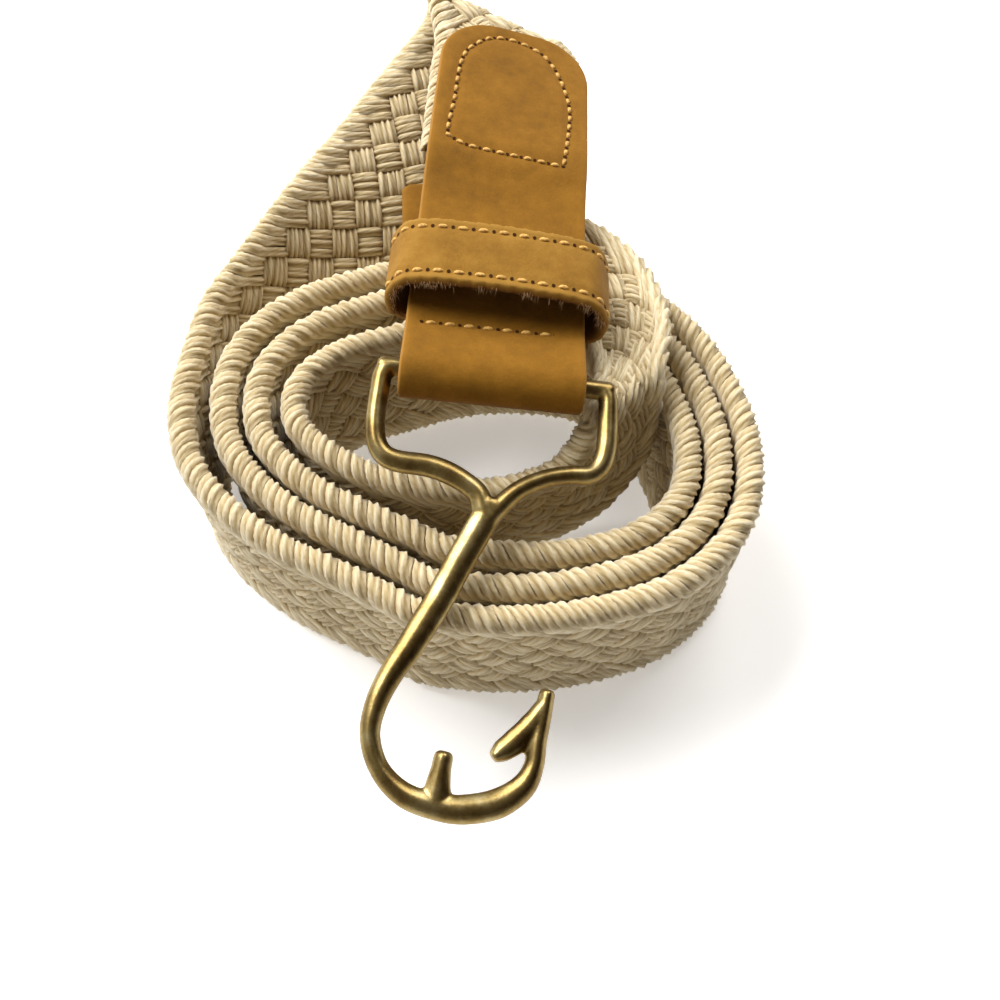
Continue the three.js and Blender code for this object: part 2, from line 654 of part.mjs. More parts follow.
// The origin is the middle of the belt's box, on the surface it rests on.
const box = new THREE.Box3().setFromObject(belt);
const middleOfBox = box.getCenter(vector(0, 0, 0));
belt.position.set(-middleOfBox.x, -middleOfBox.y, -box.min.z);

export default group;
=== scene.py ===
"""A rope belt: a flat braid of cotton cord wound on edge, with leather tab, keeper and tip and a brass hook.

Sizes are in millimetres in this file and are turned to metres when a mesh is made. The belt's own frame has
the camera's foot at x = y = 0; ``Placement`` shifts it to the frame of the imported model.
"""
import logging
import math
from dataclasses import dataclass, field
from enum import Enum

import bpy
import numpy as np
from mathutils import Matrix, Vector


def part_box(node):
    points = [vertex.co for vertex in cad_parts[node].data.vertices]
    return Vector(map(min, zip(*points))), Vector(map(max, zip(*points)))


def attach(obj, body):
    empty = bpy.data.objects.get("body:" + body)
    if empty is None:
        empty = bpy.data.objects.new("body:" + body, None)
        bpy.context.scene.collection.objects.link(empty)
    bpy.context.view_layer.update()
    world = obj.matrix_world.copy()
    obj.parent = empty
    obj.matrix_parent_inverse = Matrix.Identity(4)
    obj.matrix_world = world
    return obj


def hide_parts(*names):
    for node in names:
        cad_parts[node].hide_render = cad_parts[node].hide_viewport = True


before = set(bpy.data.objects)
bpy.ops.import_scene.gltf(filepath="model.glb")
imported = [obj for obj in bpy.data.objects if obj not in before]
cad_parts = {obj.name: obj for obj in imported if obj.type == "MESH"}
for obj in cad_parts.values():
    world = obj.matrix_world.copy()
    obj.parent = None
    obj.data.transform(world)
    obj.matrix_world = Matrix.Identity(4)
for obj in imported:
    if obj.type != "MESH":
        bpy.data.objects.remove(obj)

log = logging.getLogger("rope_belt")
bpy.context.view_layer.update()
MM = 0.001
Array = np.ndarray


@dataclass(frozen=True)
class Sizes:
    """The belt's driving dimensions in millimetres, the same as the model's source."""

    band_width: float = 35
    rope_thick: float = 5.4
    turn_gap: float = 0.35
    route_span: float = 100
    coil_reach: float = 40
    coil_centre: tuple[float, float] = (-4.0, 107.0)
    turns_after_first: int = 2
    last_sweep: float = 85
    pressed: float = 0.66
    fit: float = 0.3
    tab_width: float = 32.8
    tab_length: float = 93
    tab_leather: float = 1.8
    tab_corner: float = 13.5
    tab_crown: float = 3
    pocket_length: float = 40
    tab_yaw: float = -2.8
    tab_roll_near: float = 6
    tab_roll_far: float = 14
    keeper_width: float = 15
    keeper_outer: float = 41.4
    keeper_corner: float = 4.6
    keeper_rise: float = 8.8
    keeper_leather: float = 2
    keeper_start: float = 13.5
    keeper_slant: float = 0.035
    tip_leather: float = 1.3
    bar_radius: float = 1.8
    bar_clearance: float = 0.7
    fold_slack: float = 0.9
    cast_thick: float = 3.8
    cast_crown: float = 0.35
    frame_left: float = 19.4
    frame_right: float = 21.1
    frame_depth: float = 17.4
    frame_bar: float = 3.6
    hook_length: float = 73
    bend_width: float = 4.4
    buckle_roll: float = -6
    buckle_yaw: float = -3.6
    buckle_drop: float = 13.2

    @property
    def tab_level(self) -> float:
        """Height of the tab's middle plane over the surface."""
        tip = self.rope_thick * self.pressed + 2 * (self.fit + self.tip_leather)
        return self.band_width + tip + 3 * self.fit + self.keeper_leather + self.tab_leather

    @property
    def bar_place(self) -> Array:
        """The bar's centre in the belt's frame."""
        return np.array([-0.014 * self.route_span, 1.044 * self.route_span, self.tab_level])


S = Sizes()

# The D of stitches: across as a share of half the tab's width, along as a share of the pocket, over its seam.
STITCH_ARCH = [
    (0.69, -0.01), (0.72, 0.125), (0.744, 0.275), (0.75, 0.44), (0.7, 0.563), (0.616, 0.68),
    (0.512, 0.778), (0.366, 0.86), (0.152, 0.905), (-0.06, 0.923), (-0.268, 0.913), (-0.42, 0.88),
    (-0.55, 0.82), (-0.66, 0.75), (-0.72, 0.65), (-0.74, 0.53), (-0.745, 0.375), (-0.762, 0.263),
    (-0.778, 0.16), (-0.775, 0.09),
]
STITCH_ROW = [(-0.775, 0.09), (-0.555, 0.045), (-0.11, 0.022), (0.3, 0.007), (0.69, -0.01)]
# Rows of the braid's route: (across, along, up, lift) of the upper rope and of the lower one, then the width
# and thickness shares.
TAIL_ROWS = [
    ((-0.165, 1.29, 1, 0.66), (-0.18, 1.56, 1, 0.66), 0.9, S.pressed),
    ((-0.08, 1.285, 1, 0.66), (-0.08, 1.567, 1, 0.66), 0.94, S.pressed),
    ((0.0, 1.275, 1, 0.66), (0.02, 1.556, 1, 0.66), 0.94, S.pressed),
    ((0.075, 1.25, 1, 0.66), (0.12, 1.53, 1, 0.63), 0.93, S.pressed),
    ((0.14, 1.21, 1, 0.6), (0.212, 1.475, 1, 0.6), 0.88, 0.95),
    ((0.183, 1.16, 1, 0.5), (0.285, 1.385, 1, 0.6), 0.78, 1),
    ((0.196, 1.105, 1, 0.66), (0.316, 1.275, 1, 0.6), 0.66, 1),
    ((0.186, 1.06, 1, 0.74), (0.308, 1.19, 1, 0.82), 0.6, 1),
    ((0.176, 1.015, 1, 0.66), (0.274, 1.09, 1, 0.72), 0.44, 1),
    ((0.164, 0.99, 1, 0.35), (0.268, 1.07, 0.84, 0.5), 0.52, 1),
    ((0.142, 0.965, 0.96, 0.2), (0.272, 1.06, 0.52, 0.5), 0.74, 1),
    ((0.108, 0.938, 0.93, 0), (0.218, 1.025, 0.16, 0.5), 0.94, 1),
    ((0.06, 0.915, 0.923, 0), (0.135, 0.985, 0.077, 0), 1, 1),
    ((0.0, 0.897, 0.923, 0), (0.03, 0.945, 0.077, 0), 1, 1),
]
RISE_ROWS = [
    ((-0.588, 1.35, 0.923, 0), (-0.553, 1.33, 0.077, 0), 1, 1),
    ((-0.555, 1.425, 0.93, 0), (-0.48, 1.375, 0.12, 0), 1, 1),
    ((-0.507, 1.525, 0.95, 0), (-0.375, 1.435, 0.2, 0.1), 1, 1),
    ((-0.465, 1.61, 0.97, 0), (-0.285, 1.495, 0.32, 0.1), 1, 1),
    ((-0.412, 1.705, 1, 0), (-0.195, 1.58, 0.5, 0.1), 1, 1),
    ((-0.352, 1.8, 1, 0.2), (-0.102, 1.665, 0.7, 0.1), 1, 1),
    ((-0.292, 1.895, 1, 0.6), (-0.022, 1.76, 0.85, 0.1), 1, 1),
    ((-0.243, 1.965, 1, 0.95), (0.038, 1.83, 0.9, 0.2), 1, 1),
    ((-0.198, 2.03, 1, 1.25), (0.085, 1.9, 0.93, 0.3), 1, 1),
    ((-0.16, 2.085, 1, 1.62), (0.12, 1.945, 0.93, 0.6), 1, 1),
    ((-0.142, 2.12, 1, 2.2), (0.142, 1.975, 0.95, 1.15), 1, 1),
    ((-0.145, 2.108, 1, 2.85), (0.15, 1.975, 1.05, 1.25), 1, 1),
]
# The innermost turn, clockwise from the front: angle in degrees, radius as a share of the coil's reach.
FIRST_TURN = [
    (-103, 0.448), (-118, 0.485), (-140, 0.58), (-161, 0.735), (-177, 0.875), (-192, 0.885), (-208, 0.775),
    (-229, 0.62), (-252, 0.575), (-284, 0.605), (-317, 0.765), (-341, 0.885), (-356, 0.935), (-369, 0.99),
    (-386, 1.035), (-402, 0.98), (-421, 0.86), (-440, 0.775), (-463, 0.742),
]
# Angle, then the looseness outside the first, second and third turn in shares of the rope's thickness.
LOOSENESS = [
    (-103, 1.12, 0.22, 0.05), (-117, 0.76, 0.1, 0.1), (-130, 0.5, 0.04, 0.15), (-145, 0.32, 0.02, 0.22),
    (-175, 0.22, 0.06, 0.4), (-208, 0.6, 0.36, 0.5), (-232, 0.7, 0.3, 0.5), (-275, 0.28, 0.26, 0.5),
    (-320, 0.12, 0.08, 0.5), (-350, 0, 0, 0.5), (-410, 0, 0, 0.5), (-463, 0.22, 0.05, 0.5),
]
# The hook's line: across and down as shares of the hook's length, width as a share of the bend's width.
HOOK_LINE = [
    (0.026, 0.321, 1), (0.007, 0.37, 1.159), (-0.032, 0.458, 1.148), (-0.07, 0.551, 1.114),
    (-0.1, 0.614, 1.102), (-0.132, 0.679, 1.045), (-0.16, 0.73, 0.943), (-0.185, 0.799, 0.841),
    (-0.19, 0.864, 0.75), (-0.162, 0.932, 0.75), (-0.104, 0.981, 0.886), (-0.019, 1.001, 1),
    (0.032, 1, 1.057), (0.101, 0.981, 1.08), (0.152, 0.941, 0.932), (0.17, 0.899, 0.75),
    (0.174, 0.847, 0.727), (0.181, 0.797, 0.682), (0.188, 0.742, 0.614),
]
BARB_LINE = [
    (0.181, 0.767, 0.591), (0.158, 0.811, 0.886), (0.127, 0.849, 0.977), (0.097, 0.874, 0.818),
    (0.085, 0.884, 0.568),
]
STUB_LINE = [
    (-0.034, 0.986, 1.182), (-0.033, 0.959, 0.955), (-0.03, 0.923, 0.75), (-0.027, 0.896, 0.727),
]
# Each side of the frame: across as a share of its reach, down of the frame's depth, width of the bar's width.
LEFT_SIDE = [
    (0.954, 0.017, 1), (0.99, 0.092, 1), (1, 0.259, 0.972), (1, 0.621, 0.972), (0.961, 0.839, 1),
    (0.887, 0.948, 1.056), (0.778, 0.994, 1.111), (0.49, 1.011, 1.139), (0.32, 1.057, 1.139),
    (0.16, 1.138, 1.083), (0.026, 1.247, 1.056), (-0.036, 1.414, 1.167),
]
RIGHT_SIDE = [
    (0.957, 0.017, 1), (0.991, 0.092, 1), (1, 0.259, 1.028), (1, 0.644, 1.028), (0.962, 0.822, 1.028),
    (0.882, 0.92, 1), (0.706, 0.954, 0.972), (0.517, 1.017, 0.944), (0.313, 1.155, 0.944),
    (0.175, 1.328, 1), (0.075, 1.494, 1),
]


class Spline:
    """A smooth curve through points, uniform or centripetal Catmull-Rom."""

    def __init__(self, points: Array, centripetal: bool) -> None:
        """Keeps the points with one extrapolated point beyond each end.

        Args:
            points: N x 3 points.
            centripetal: True for knots spaced by the root of the chord, False for uniform knots.
        """
        p = np.asarray(points, float)
        self.count = len(p)
        self.p = np.vstack([2 * p[:1] - p[1:2], p, 2 * p[-1:] - p[-2:-1]])
        self.centripetal = centripetal

    def at(self, t: Array) -> Array:
        """Points at parameters from 0 to 1.

        Args:
            t: Parameters.

        Returns:
            One point for each parameter.
        """
        s = np.clip(np.asarray(t, float), 0, 1) * (self.count - 1)
        i = np.minimum(np.floor(s).astype(int), self.count - 2)
        w = (s - i)[:, None]
        p0, p1, p2, p3 = (self.p[i + k] for k in range(4))
        if self.centripetal:
            d0, d1, d2 = (np.sqrt(np.linalg.norm(b - a, axis=1))[:, None]
                          for a, b in ((p0, p1), (p1, p2), (p2, p3)))
            m1 = ((p1 - p0) / d0 - (p2 - p0) / (d0 + d1) + (p2 - p1) / d1) * d1
            m2 = ((p2 - p1) / d1 - (p3 - p1) / (d1 + d2) + (p3 - p2) / d2) * d1
        else:
            m1, m2 = 0.5 * (p2 - p0), 0.5 * (p3 - p1)
        c2 = -3 * p1 + 3 * p2 - 2 * m1 - m2
        c3 = 2 * p1 - 2 * p2 + m1 + m2
        return p1 + m1 * w + c2 * w**2 + c3 * w**3


def smooth(x: Array) -> Array:
    """The smooth step 3x^2 - 2x^3 of x held between 0 and 1."""
    x = np.clip(x, 0, 1)
    return x * x * (3 - 2 * x)


def unit(v: Array) -> Array:
    """Vectors of length 1 along the last axis."""
    return v / np.maximum(np.linalg.norm(v, axis=-1, keepdims=True), 1e-12)


def running(points: Array) -> Array:
    """The length along a line of points up to each of them, from 0."""
    return np.concatenate([[0], np.cumsum(np.linalg.norm(np.diff(points, axis=0), axis=1))])


def flat_curve(points: Array, count: int) -> Array:
    """A smooth curve through points of a plane.

    Args:
        points: N x 2 points.
        count: How many points to give back, spread evenly over the curve's parameter.

    Returns:
        count x 2 points.
    """
    return Spline(np.column_stack([points, 0 * points[:, 0]]), True).at(np.linspace(0, 1, count))[:, :2]


def tab_point(x: Array, y: Array, z: Array) -> Array:
    """Points of the tab's frame in the belt's frame: rolled more towards the far end, then yawed and placed.

    Args:
        x: Across the tab.
        y: Away from the bar.
        z: Up from the tab's middle plane.

    Returns:
        N x 3 points.
    """
    x, y, z = (np.asarray(a, float) for a in (x, y, z))
    share = smooth((y - 0.35 * S.tab_length) / (0.65 * S.tab_length))
    roll = np.radians(S.tab_roll_near + (S.tab_roll_far - S.tab_roll_near) * share)
    rx = x * np.cos(roll) + z * np.sin(roll)
    rz = z * np.cos(roll) - x * np.sin(roll)
    c, s = math.cos(math.radians(S.tab_yaw)), math.sin(math.radians(S.tab_yaw))
    return np.stack([rx * c - y * s, rx * s + y * c, rz], -1) + S.bar_place


def buckle_point(p: Array) -> Array:
    """Points of the buckle's frame in the belt's frame: dropped on the bar, rolled, yawed and placed.

    Args:
        p: N x 3 points with the bar on x and the hook towards -y.

    Returns:
        N x 3 points.
    """
    drop, roll, yaw = (math.radians(a) for a in (S.buckle_drop, -S.buckle_roll, S.buckle_yaw))
    cx, sx, cy, sy = math.cos(drop), math.sin(drop), math.cos(roll), math.sin(roll)
    cz, sz = math.cos(yaw), math.sin(yaw)
    rx = np.array([[1, 0, 0], [0, cx, -sx], [0, sx, cx]])
    ry = np.array([[cy, 0, sy], [0, 1, 0], [-sy, 0, cy]])
    rz = np.array([[cz, -sz, 0], [sz, cz, 0], [0, 0, 1]])
    return p @ (rz @ ry @ rx).T + S.bar_place


class Route:
    """The braid's path: its middle line with the directions across (w) and through (n) at each length."""

    def __init__(self) -> None:
        """Builds the rows, the two curves and the running length."""
        rows = self._rows()
        self.tops = Spline(np.array([r[0] for r in rows]), True)
        self.feet = Spline(np.array([r[1] for r in rows]), False)
        self.thick = np.array([r[2] for r in rows])
        fine = len(rows) * 12
        self.t = np.linspace(0, 1, fine + 1)
        top, foot = self.tops.at(self.t), self.feet.at(self.t)
        steps = np.maximum(np.linalg.norm(np.diff(top + foot / 2, axis=0), axis=1),
                           np.linalg.norm(np.diff(top, axis=0), axis=1))
        self.lengths = np.concatenate([[0], np.cumsum(steps)])
        self.total = float(self.lengths[-1])

    @staticmethod
    def coil_line() -> Array:
        """The turns in plan: the first turn's curve, then each turn moved out from the one inside it, along
        the line's normal, by the rope's thickness and the looseness there.

        Returns:
            N x 3 points, clockwise from the innermost one.
        """
        cx, cy = S.coil_centre
        a = np.radians([r[0] for r in FIRST_TURN])
        r = S.coil_reach * np.array([r[1] for r in FIRST_TURN])
        curve = Spline(np.stack([cx + r * np.cos(a), cy + r * np.sin(a), 0 * a], 1), True)
        t = np.linspace(0, 1, 201)
        run = running(curve.at(t))
        line = list(curve.at(np.interp(np.linspace(0, run[-1], 41), run, t)))

        def angle_of(p: Array) -> float:
            """The angle of a point round the coil's centre."""
            return math.degrees(math.atan2(p[1] - cy, p[0] - cx))

        start = FIRST_TURN[0][0]
        angles, last = [], start
        for p in line:
            angle = angle_of(p)
            while angle > last + 30:
                angle -= 360
            last = angle
            angles.append(angle)
        table = np.array(LOOSENESS, float)
        end = start - 360 * (S.turns_after_first + 1) - S.last_sweep
        i = 1
        while i < len(line):
            normal = np.array([line[i + 1][1] - line[i - 1][1], line[i - 1][0] - line[i + 1][0], 0.0])
            normal /= np.linalg.norm(normal)
            if normal @ (line[i] - np.array([cx, cy, 0])) < 0:
                normal = -normal
            turn = min(2, int((start - angles[i]) // 360))
            pitch = S.rope_thick * (1 + Route._read(table, angles[i] + 360 * turn, turn + 1)) + S.turn_gap
            following = line[i] + normal * pitch
            angle = angle_of(following)
            while angle > angles[i] - 300:
                angle -= 360
            if angle < angles[-1] - 3:
                line.append(following)
                angles.append(angle)
            if angle < end:
                break
            i += 1
        return np.array(line)

    @staticmethod
    def _read(table: Array, angle: float, column: int) -> float:
        """A column read smoothly between the table's falling angles.

        Args:
            table: Rows of an angle and its columns.
            angle: Where to read.
            column: The column.

        Returns:
            The value.
        """
        if angle > table[0, 0]:
            return table[0, column]
        for here, following in zip(table, table[1:]):
            if here[0] >= angle >= following[0]:
                share = (here[0] - angle) / (here[0] - following[0])
                return here[column] + (following[column] - here[column]) * float(smooth(np.array(share)))
        return table[-1, column]

    def _rows(self) -> list[tuple[Array, Array, float]]:
        """The rows of the whole route.

        Returns:
            Each row as the upper rope's point, the reach to the lower rope and the thickness share.
        """
        span = S.band_width - S.rope_thick
        rows: list[tuple[Array, Array, float]] = []

        def place(r: tuple[float, ...]) -> Array:
            """A table's point in millimetres."""
            high = r[2] * S.band_width + r[3] * S.rope_thick
            return np.array([r[0] * S.route_span, r[1] * S.route_span, high])

        def add(top: Array, foot: Array, width: float, thick: float) -> None:
            """One row whose reach is a share of the full one."""
            reach = foot - top
            rows.append((top, reach / np.linalg.norm(reach) * span * width, thick))

        for top, foot, width, thick in TAIL_ROWS:
            add(place(top), place(foot), width, thick)
        for x, y, _ in self.coil_line():
            add(np.array([x, y, S.band_width - S.rope_thick / 2]), np.array([x, y, S.rope_thick / 2]), 1, 1)
        for top, foot, width, thick in RISE_ROWS:
            add(place(top), place(foot), width, thick)
        for y in S.tab_length - np.array((0.1, 0.35, 0.675, 0.95)) * S.pocket_length:
            top, foot = tab_point(-span / 2 - 0.8, y, 0), tab_point(span / 2 - 0.8, y, 0)
            rows.append((top, foot - top, S.pressed))
        return rows

    def frame_at(self, u: Array) -> tuple[Array, Array, Array, Array, Array]:
        """The braid's frame at lengths along it.

        Args:
            u: Lengths from the tip, in millimetres.

        Returns:
            The middle points, w, n, the half distance between the edge ropes, and the thickness share.
        """
        t = np.interp(u, self.lengths, self.t)
        foot = self.feet.at(t)
        middle = self.tops.at(t) + foot / 2
        step = 0.5 / (len(self.t) - 1)
        ahead, back = np.clip(t + step, 0, 1), np.clip(t - step, 0, 1)
        tangent = self.tops.at(ahead) + self.feet.at(ahead) / 2 - self.tops.at(back) - self.feet.at(back) / 2
        w = -unit(foot)
        n = unit(np.cross(unit(tangent), w))
        half = np.linalg.norm(foot, axis=1) / 2
        thick = np.interp(t * (len(self.thick) - 1), np.arange(len(self.thick)), self.thick)
        sunk = (half + S.rope_thick / 2) * np.abs(w[:, 2]) + 0.8 * np.abs(n[:, 2]) - middle[:, 2]
        middle[:, 2] += np.maximum(0, sunk)
        return middle, w, n, half, thick

    def solid_box(self) -> tuple[Array, Array]:
        """The box of the plain sections that the CAD solid joins, in the belt's frame.

        Returns:
            Its lowest and its highest corner.
        """
        count = round(self.total / 8)
        u = self.total * np.arange(count + 1) / count
        middle, w, n, half, thick = self.frame_at(u)
        rope, side = S.rope_thick / 2 * thick, 0.5 * S.rope_thick
        rings = []
        for v, h in ((-half - side, 0.8 + 0 * half), (-half - side * 0.62, rope * 0.8), (-half, rope),
                     (half, rope), (half + side * 0.7, rope * 0.7), (half + side, rope * 0.24)):
            rings += [middle + w * v[:, None] + n * (s * h)[:, None] for s in (1, -1)]
        p = np.concatenate(rings)
        return p.min(0), p.max(0)


ROUTE = Route()


class Placement:
    """The shift from the belt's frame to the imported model's frame."""

    low, _ = ROUTE.solid_box()
    shift = np.array([c * 1000 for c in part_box("braided_band")[0]]) - low

    @classmethod
    def metres(cls, p: Array) -> Array:
        """Points of the belt's frame in the model's frame, in metres."""
        return (p + cls.shift) * MM


def linear(hex_colour: str) -> tuple[float, float, float, float]:
    """An sRGB hex colour as linear red, green, blue and alpha."""
    values = [int(hex_colour[i:i + 2], 16) / 255 for i in (1, 3, 5)]
    return (*[v / 12.92 if v <= 0.04045 else ((v + 0.055) / 1.055) ** 2.4 for v in values], 1.0)


class Nodes:
    """A node tree under construction, of a material or of the world."""

    def __init__(self, owner: bpy.types.ID, shader: str = "Principled BSDF") -> None:
        """Starts the tree with its shader.

        Args:
            owner: The material or world.
            shader: The name of the node that takes the finished values.
        """
        owner.use_nodes = True
        self.owner = owner
        self.tree = owner.node_tree
        self.shader = self.tree.nodes[shader]

    def add(self, kind: str, links: dict[str | int, object] | None = None, output: str | int = 0,
            stops: tuple[tuple[float, str], ...] = (), **settings: object) -> bpy.types.NodeSocket:
        """Adds one node with its settings and links.

        Args:
            kind: Blender's node type after "ShaderNode".
            links: Input name or index to an output socket or a plain value.
            output: Name or index of the output that is given back.
            stops: Places and hex colours of a colour ramp.
            settings: Properties of the node.

        Returns:
            The output socket.
        """
        node = self.tree.nodes.new("ShaderNode" + kind)
        for key, value in settings.items():
            setattr(node, key, value)
        for key, value in (links or {}).items():
            self.join(node.inputs[key], value)
        if stops:
            elements = node.color_ramp.elements
            while len(elements) < len(stops):
                elements.new(0.5)
            for element, (position, colour) in zip(elements, stops):
                element.position, element.color = position, linear(colour)
        return node.outputs[output]

    def join(self, socket: bpy.types.NodeSocket, value: object) -> None:
        """Links a socket, or sets its value.

        Args:
            socket: The input.
            value: An output socket or a plain value.
        """
        if isinstance(value, bpy.types.NodeSocket):
            self.tree.links.new(value, socket)
        else:
            socket.default_value = value

    def total(self, start: float, *terms: tuple[bpy.types.NodeSocket, float]) -> bpy.types.NodeSocket:
        """A starting number plus each value times its weight.

        Args:
            start: The starting number.
            terms: Values and their weights.

        Returns:
            The sum.
        """
        for value, weight in terms:
            start = self.add("Math", {0: value, 1: weight, 2: start}, operation="MULTIPLY_ADD")
        return start

    def shade(self, **inputs: object) -> bpy.types.ID:
        """Sets the shader's inputs.

        Args:
            inputs: Their names, with _ for a space, and their values.

        Returns:
            The material or world.
        """
        for key, value in inputs.items():
            self.join(self.shader.inputs[key.replace("_", " ")], value)
        return self.owner


@dataclass(frozen=True)
class CottonFinish:
    """Colours of the twisted cotton cord, with painted shade and a painted highlight, and how its yarns are
    laid.
    """

    # The ramp's tones: the crevice and shade colours are painted shade, body is the cotton's own colour and
    # the crest colour is a painted highlight.
    crevice_shade: str = "#5E4424"
    shade: str = "#9C8250"
    body: str = "#D4BE8F"
    crest_highlight: str = "#F4E8C8"
    yarns: float = 7
    yarn_pitch: float = 22
    wander: float = 5

    def material(self) -> bpy.types.Material:
        """Twisted cotton: yarns laid at a slant round the cord with fine fibres along them, dull and slightly
        fuzzy, with painted shade where the cords dive under each other and in the grooves between the
        strands, and a painted highlight on the crests of the strands.

        Returns:
            The material.
        """
        n = Nodes(bpy.data.materials.new("cotton_cord_laid_strands"))
        where = n.add("TexCoord", output="Object")
        along, around = n.add("SeparateXYZ", {"Vector": n.add("UVMap", uv_map="along")}).node.outputs[:2]
        depth = n.add("Attribute", output="Fac", attribute_name="depth")
        crest_highlight = n.add("Attribute", output="Fac", attribute_name="crest_highlight")
        # Yarns stray from their even lay over about 2.6 mm, and the cotton's tone changes over about 8 mm.
        stray = n.add("TexNoise", {"Vector": where, "Scale": 1 / (2.6 * MM), "Detail": 3,
                                   "Roughness": 0.6}, "Fac")
        blotch = n.add("TexNoise", {"Vector": where, "Scale": 1 / (8 * MM), "Detail": 2}, "Fac")
        phase = n.total(-self.wander / 2, (around, self.yarns),
                        (along, -self.yarns * 2 * math.pi / self.yarn_pitch), (stray, self.wander))
        wave = n.add("Math", {0: n.total(0, (phase, 0.5))}, operation="SINE")
        strand = n.add("Math", {0: wave}, operation="ABSOLUTE")
        # Fibres are drawn out along the yarns: coordinates in millimetres along and in turns across them.
        across = n.add("CombineXYZ", {"X": n.total(0, (along, 0.7)), "Y": n.total(0, (phase, 0.8))})
        fibres = n.add("TexNoise", {"Vector": across, "Scale": 1.6, "Detail": 4, "Roughness": 0.7}, "Fac")
        # Painted light: depth darkens the cotton where the cords dive under each other, and the crest value
        # lightens the strands' ridges and darkens the groove between them.
        level = n.total(-0.28, (depth, 0.5), (crest_highlight, 0.28), (strand, 0.1), (fibres, 0.4), (blotch, 0.16))
        colour = n.add("ValToRGB", {"Fac": level}, stops=(
            (0.12, self.crevice_shade), (0.4, self.shade), (0.68, self.body), (0.95, self.crest_highlight)))
        bump = n.add("Bump", {"Height": n.total(0, (strand, 0.4), (fibres, 0.7)), "Distance": 0.2 * MM,
                              "Strength": 1})
        return n.shade(Base_Color=colour, Roughness=0.95, Specular_IOR_Level=0.12, Sheen_Weight=0.35,
                       Sheen_Roughness=0.6, Normal=bump)


@dataclass(frozen=True)
class LeatherFinish:
    """Colours of oiled nubuck."""

    name: str
    dark: str
    body: str
    light: str
    edge: str

    def material(self) -> bpy.types.Material:
        """Nubuck, sanded and oiled: cloudy mottling from the oil, fine pores and a short matt nap, with
        another tone on cut edges and a lighter one where it is worn.

        Returns:
            The material.
        """
        n = Nodes(bpy.data.materials.new(self.name))
        where = n.add("TexCoord", output="Object")
        edge = n.add("Attribute", output="Fac", attribute_name="edge")
        wear = n.add("Attribute", output="Fac", attribute_name="wear")
        # Clouds of oil are about 11 mm wide, mottles 2.6 mm and the nap 0.35 mm, coarser than a real one.
        cloud, mottle, nap = (
            n.add("TexNoise", {"Vector": where, "Scale": 1 / (size * MM), "Detail": detail,
                               "Roughness": rough}, "Fac")
            for size, detail, rough in ((11, 4, 0.62), (2.6, 5, 0.7), (0.35, 4, 0.7)))
        level = n.total(-0.15, (cloud, 0.6), (mottle, 0.4), (nap, 0.3))
        colour = n.add("ValToRGB", {"Fac": level}, stops=(
            (0.22, self.dark), (0.5, self.body), (0.8, self.light)))
        for share, tone in ((n.total(0, (edge, 0.75)), self.edge), (n.total(0, (wear, 0.5)), self.light)):
            colour = n.add("Mix", {0: share, 6: colour, 7: linear(tone)}, 2, data_type="RGBA")
        bump = n.add("Bump", {"Height": n.total(0, (nap, 0.5), (mottle, 0.5)), "Distance": 0.16 * MM,
                              "Strength": 1})
        return n.shade(Base_Color=colour, Roughness=0.82, Specular_IOR_Level=0.15, Sheen_Weight=0.04,
                       Normal=bump)


@dataclass(frozen=True)
class ThreadFinish:
    """Colours of the waxed sewing thread."""

    body: str = "#E2B25C"
    dark: str = "#A87830"

    def material(self) -> bpy.types.Material:
        """Waxed thread, twisted: a satin skin whose tone changes over about 0.5 mm with the twist.

        Returns:
            The material.
        """
        n = Nodes(bpy.data.materials.new("waxed_thread"))
        where = n.add("TexCoord", output="Object")
        tone = n.add("TexNoise", {"Vector": where, "Scale": 1 / (0.5 * MM), "Detail": 2}, "Fac")
        colour = n.add("ValToRGB", {"Fac": tone}, stops=((0.3, self.dark), (0.6, self.body)))
        bump = n.add("Bump", {"Height": tone, "Distance": 0.08 * MM, "Strength": 1})
        return n.shade(Base_Color=colour, Roughness=0.6, Normal=bump)


@dataclass(frozen=True)
class BrassFinish:
    """Colours of antique brass."""

    dark: str = "#553B1C"
    body: str = "#917C4C"
    light: str = "#C2B488"

    def material(self) -> bpy.types.Material:
        """Cast brass, tumbled to satin and browned: cloudy tarnish about 7 mm wide and fine pits of 0.5 mm,
        duller where the tarnish is.

        Returns:
            The material.
        """
        n = Nodes(bpy.data.materials.new("satin_antique_brass_cast"))
        where = n.add("TexCoord", output="Object")
        cloud, grain = (
            n.add("TexNoise", {"Vector": where, "Scale": 1 / (size * MM), "Detail": detail,
                               "Roughness": 0.6}, "Fac")
            for size, detail in ((7, 4), (0.5, 3)))
        level = n.total(0, (cloud, 0.8), (grain, 0.2))
        colour = n.add("ValToRGB", {"Fac": level}, stops=(
            (0.25, self.dark), (0.5, self.body), (0.78, self.light)))
        bump = n.add("Bump", {"Height": grain, "Distance": 0.02 * MM, "Strength": 1})
        return n.shade(Base_Color=colour, Metallic=1.0, Roughness=n.total(0.25, (cloud, 0.16)), Normal=bump)


def plain_material(name: str, colour: str, roughness: float, glow: float = 0) -> bpy.types.Material:
    """A plain matt material, for the floor, the painted shade of the stitch holes and the raw fibres.

    Args:
        name: The material's name.
        colour: Its hex colour.
        roughness: Its roughness.
        glow: Strength of the white light that it gives off.

    Returns:
        The material.
    """
    n = Nodes(bpy.data.materials.new(name))
    return n.shade(Base_Color=linear(colour), Roughness=roughness, Specular_IOR_Level=0.1,
                   Emission_Color=linear("#FFFFFF"), Emission_Strength=glow)


class Slot(Enum):
    """Names of the material slots."""

    COTTON = "cotton_braid"
    TAN = "tan_leather"
    LIGHT = "light_leather"
    BRASS = "antique_brass"


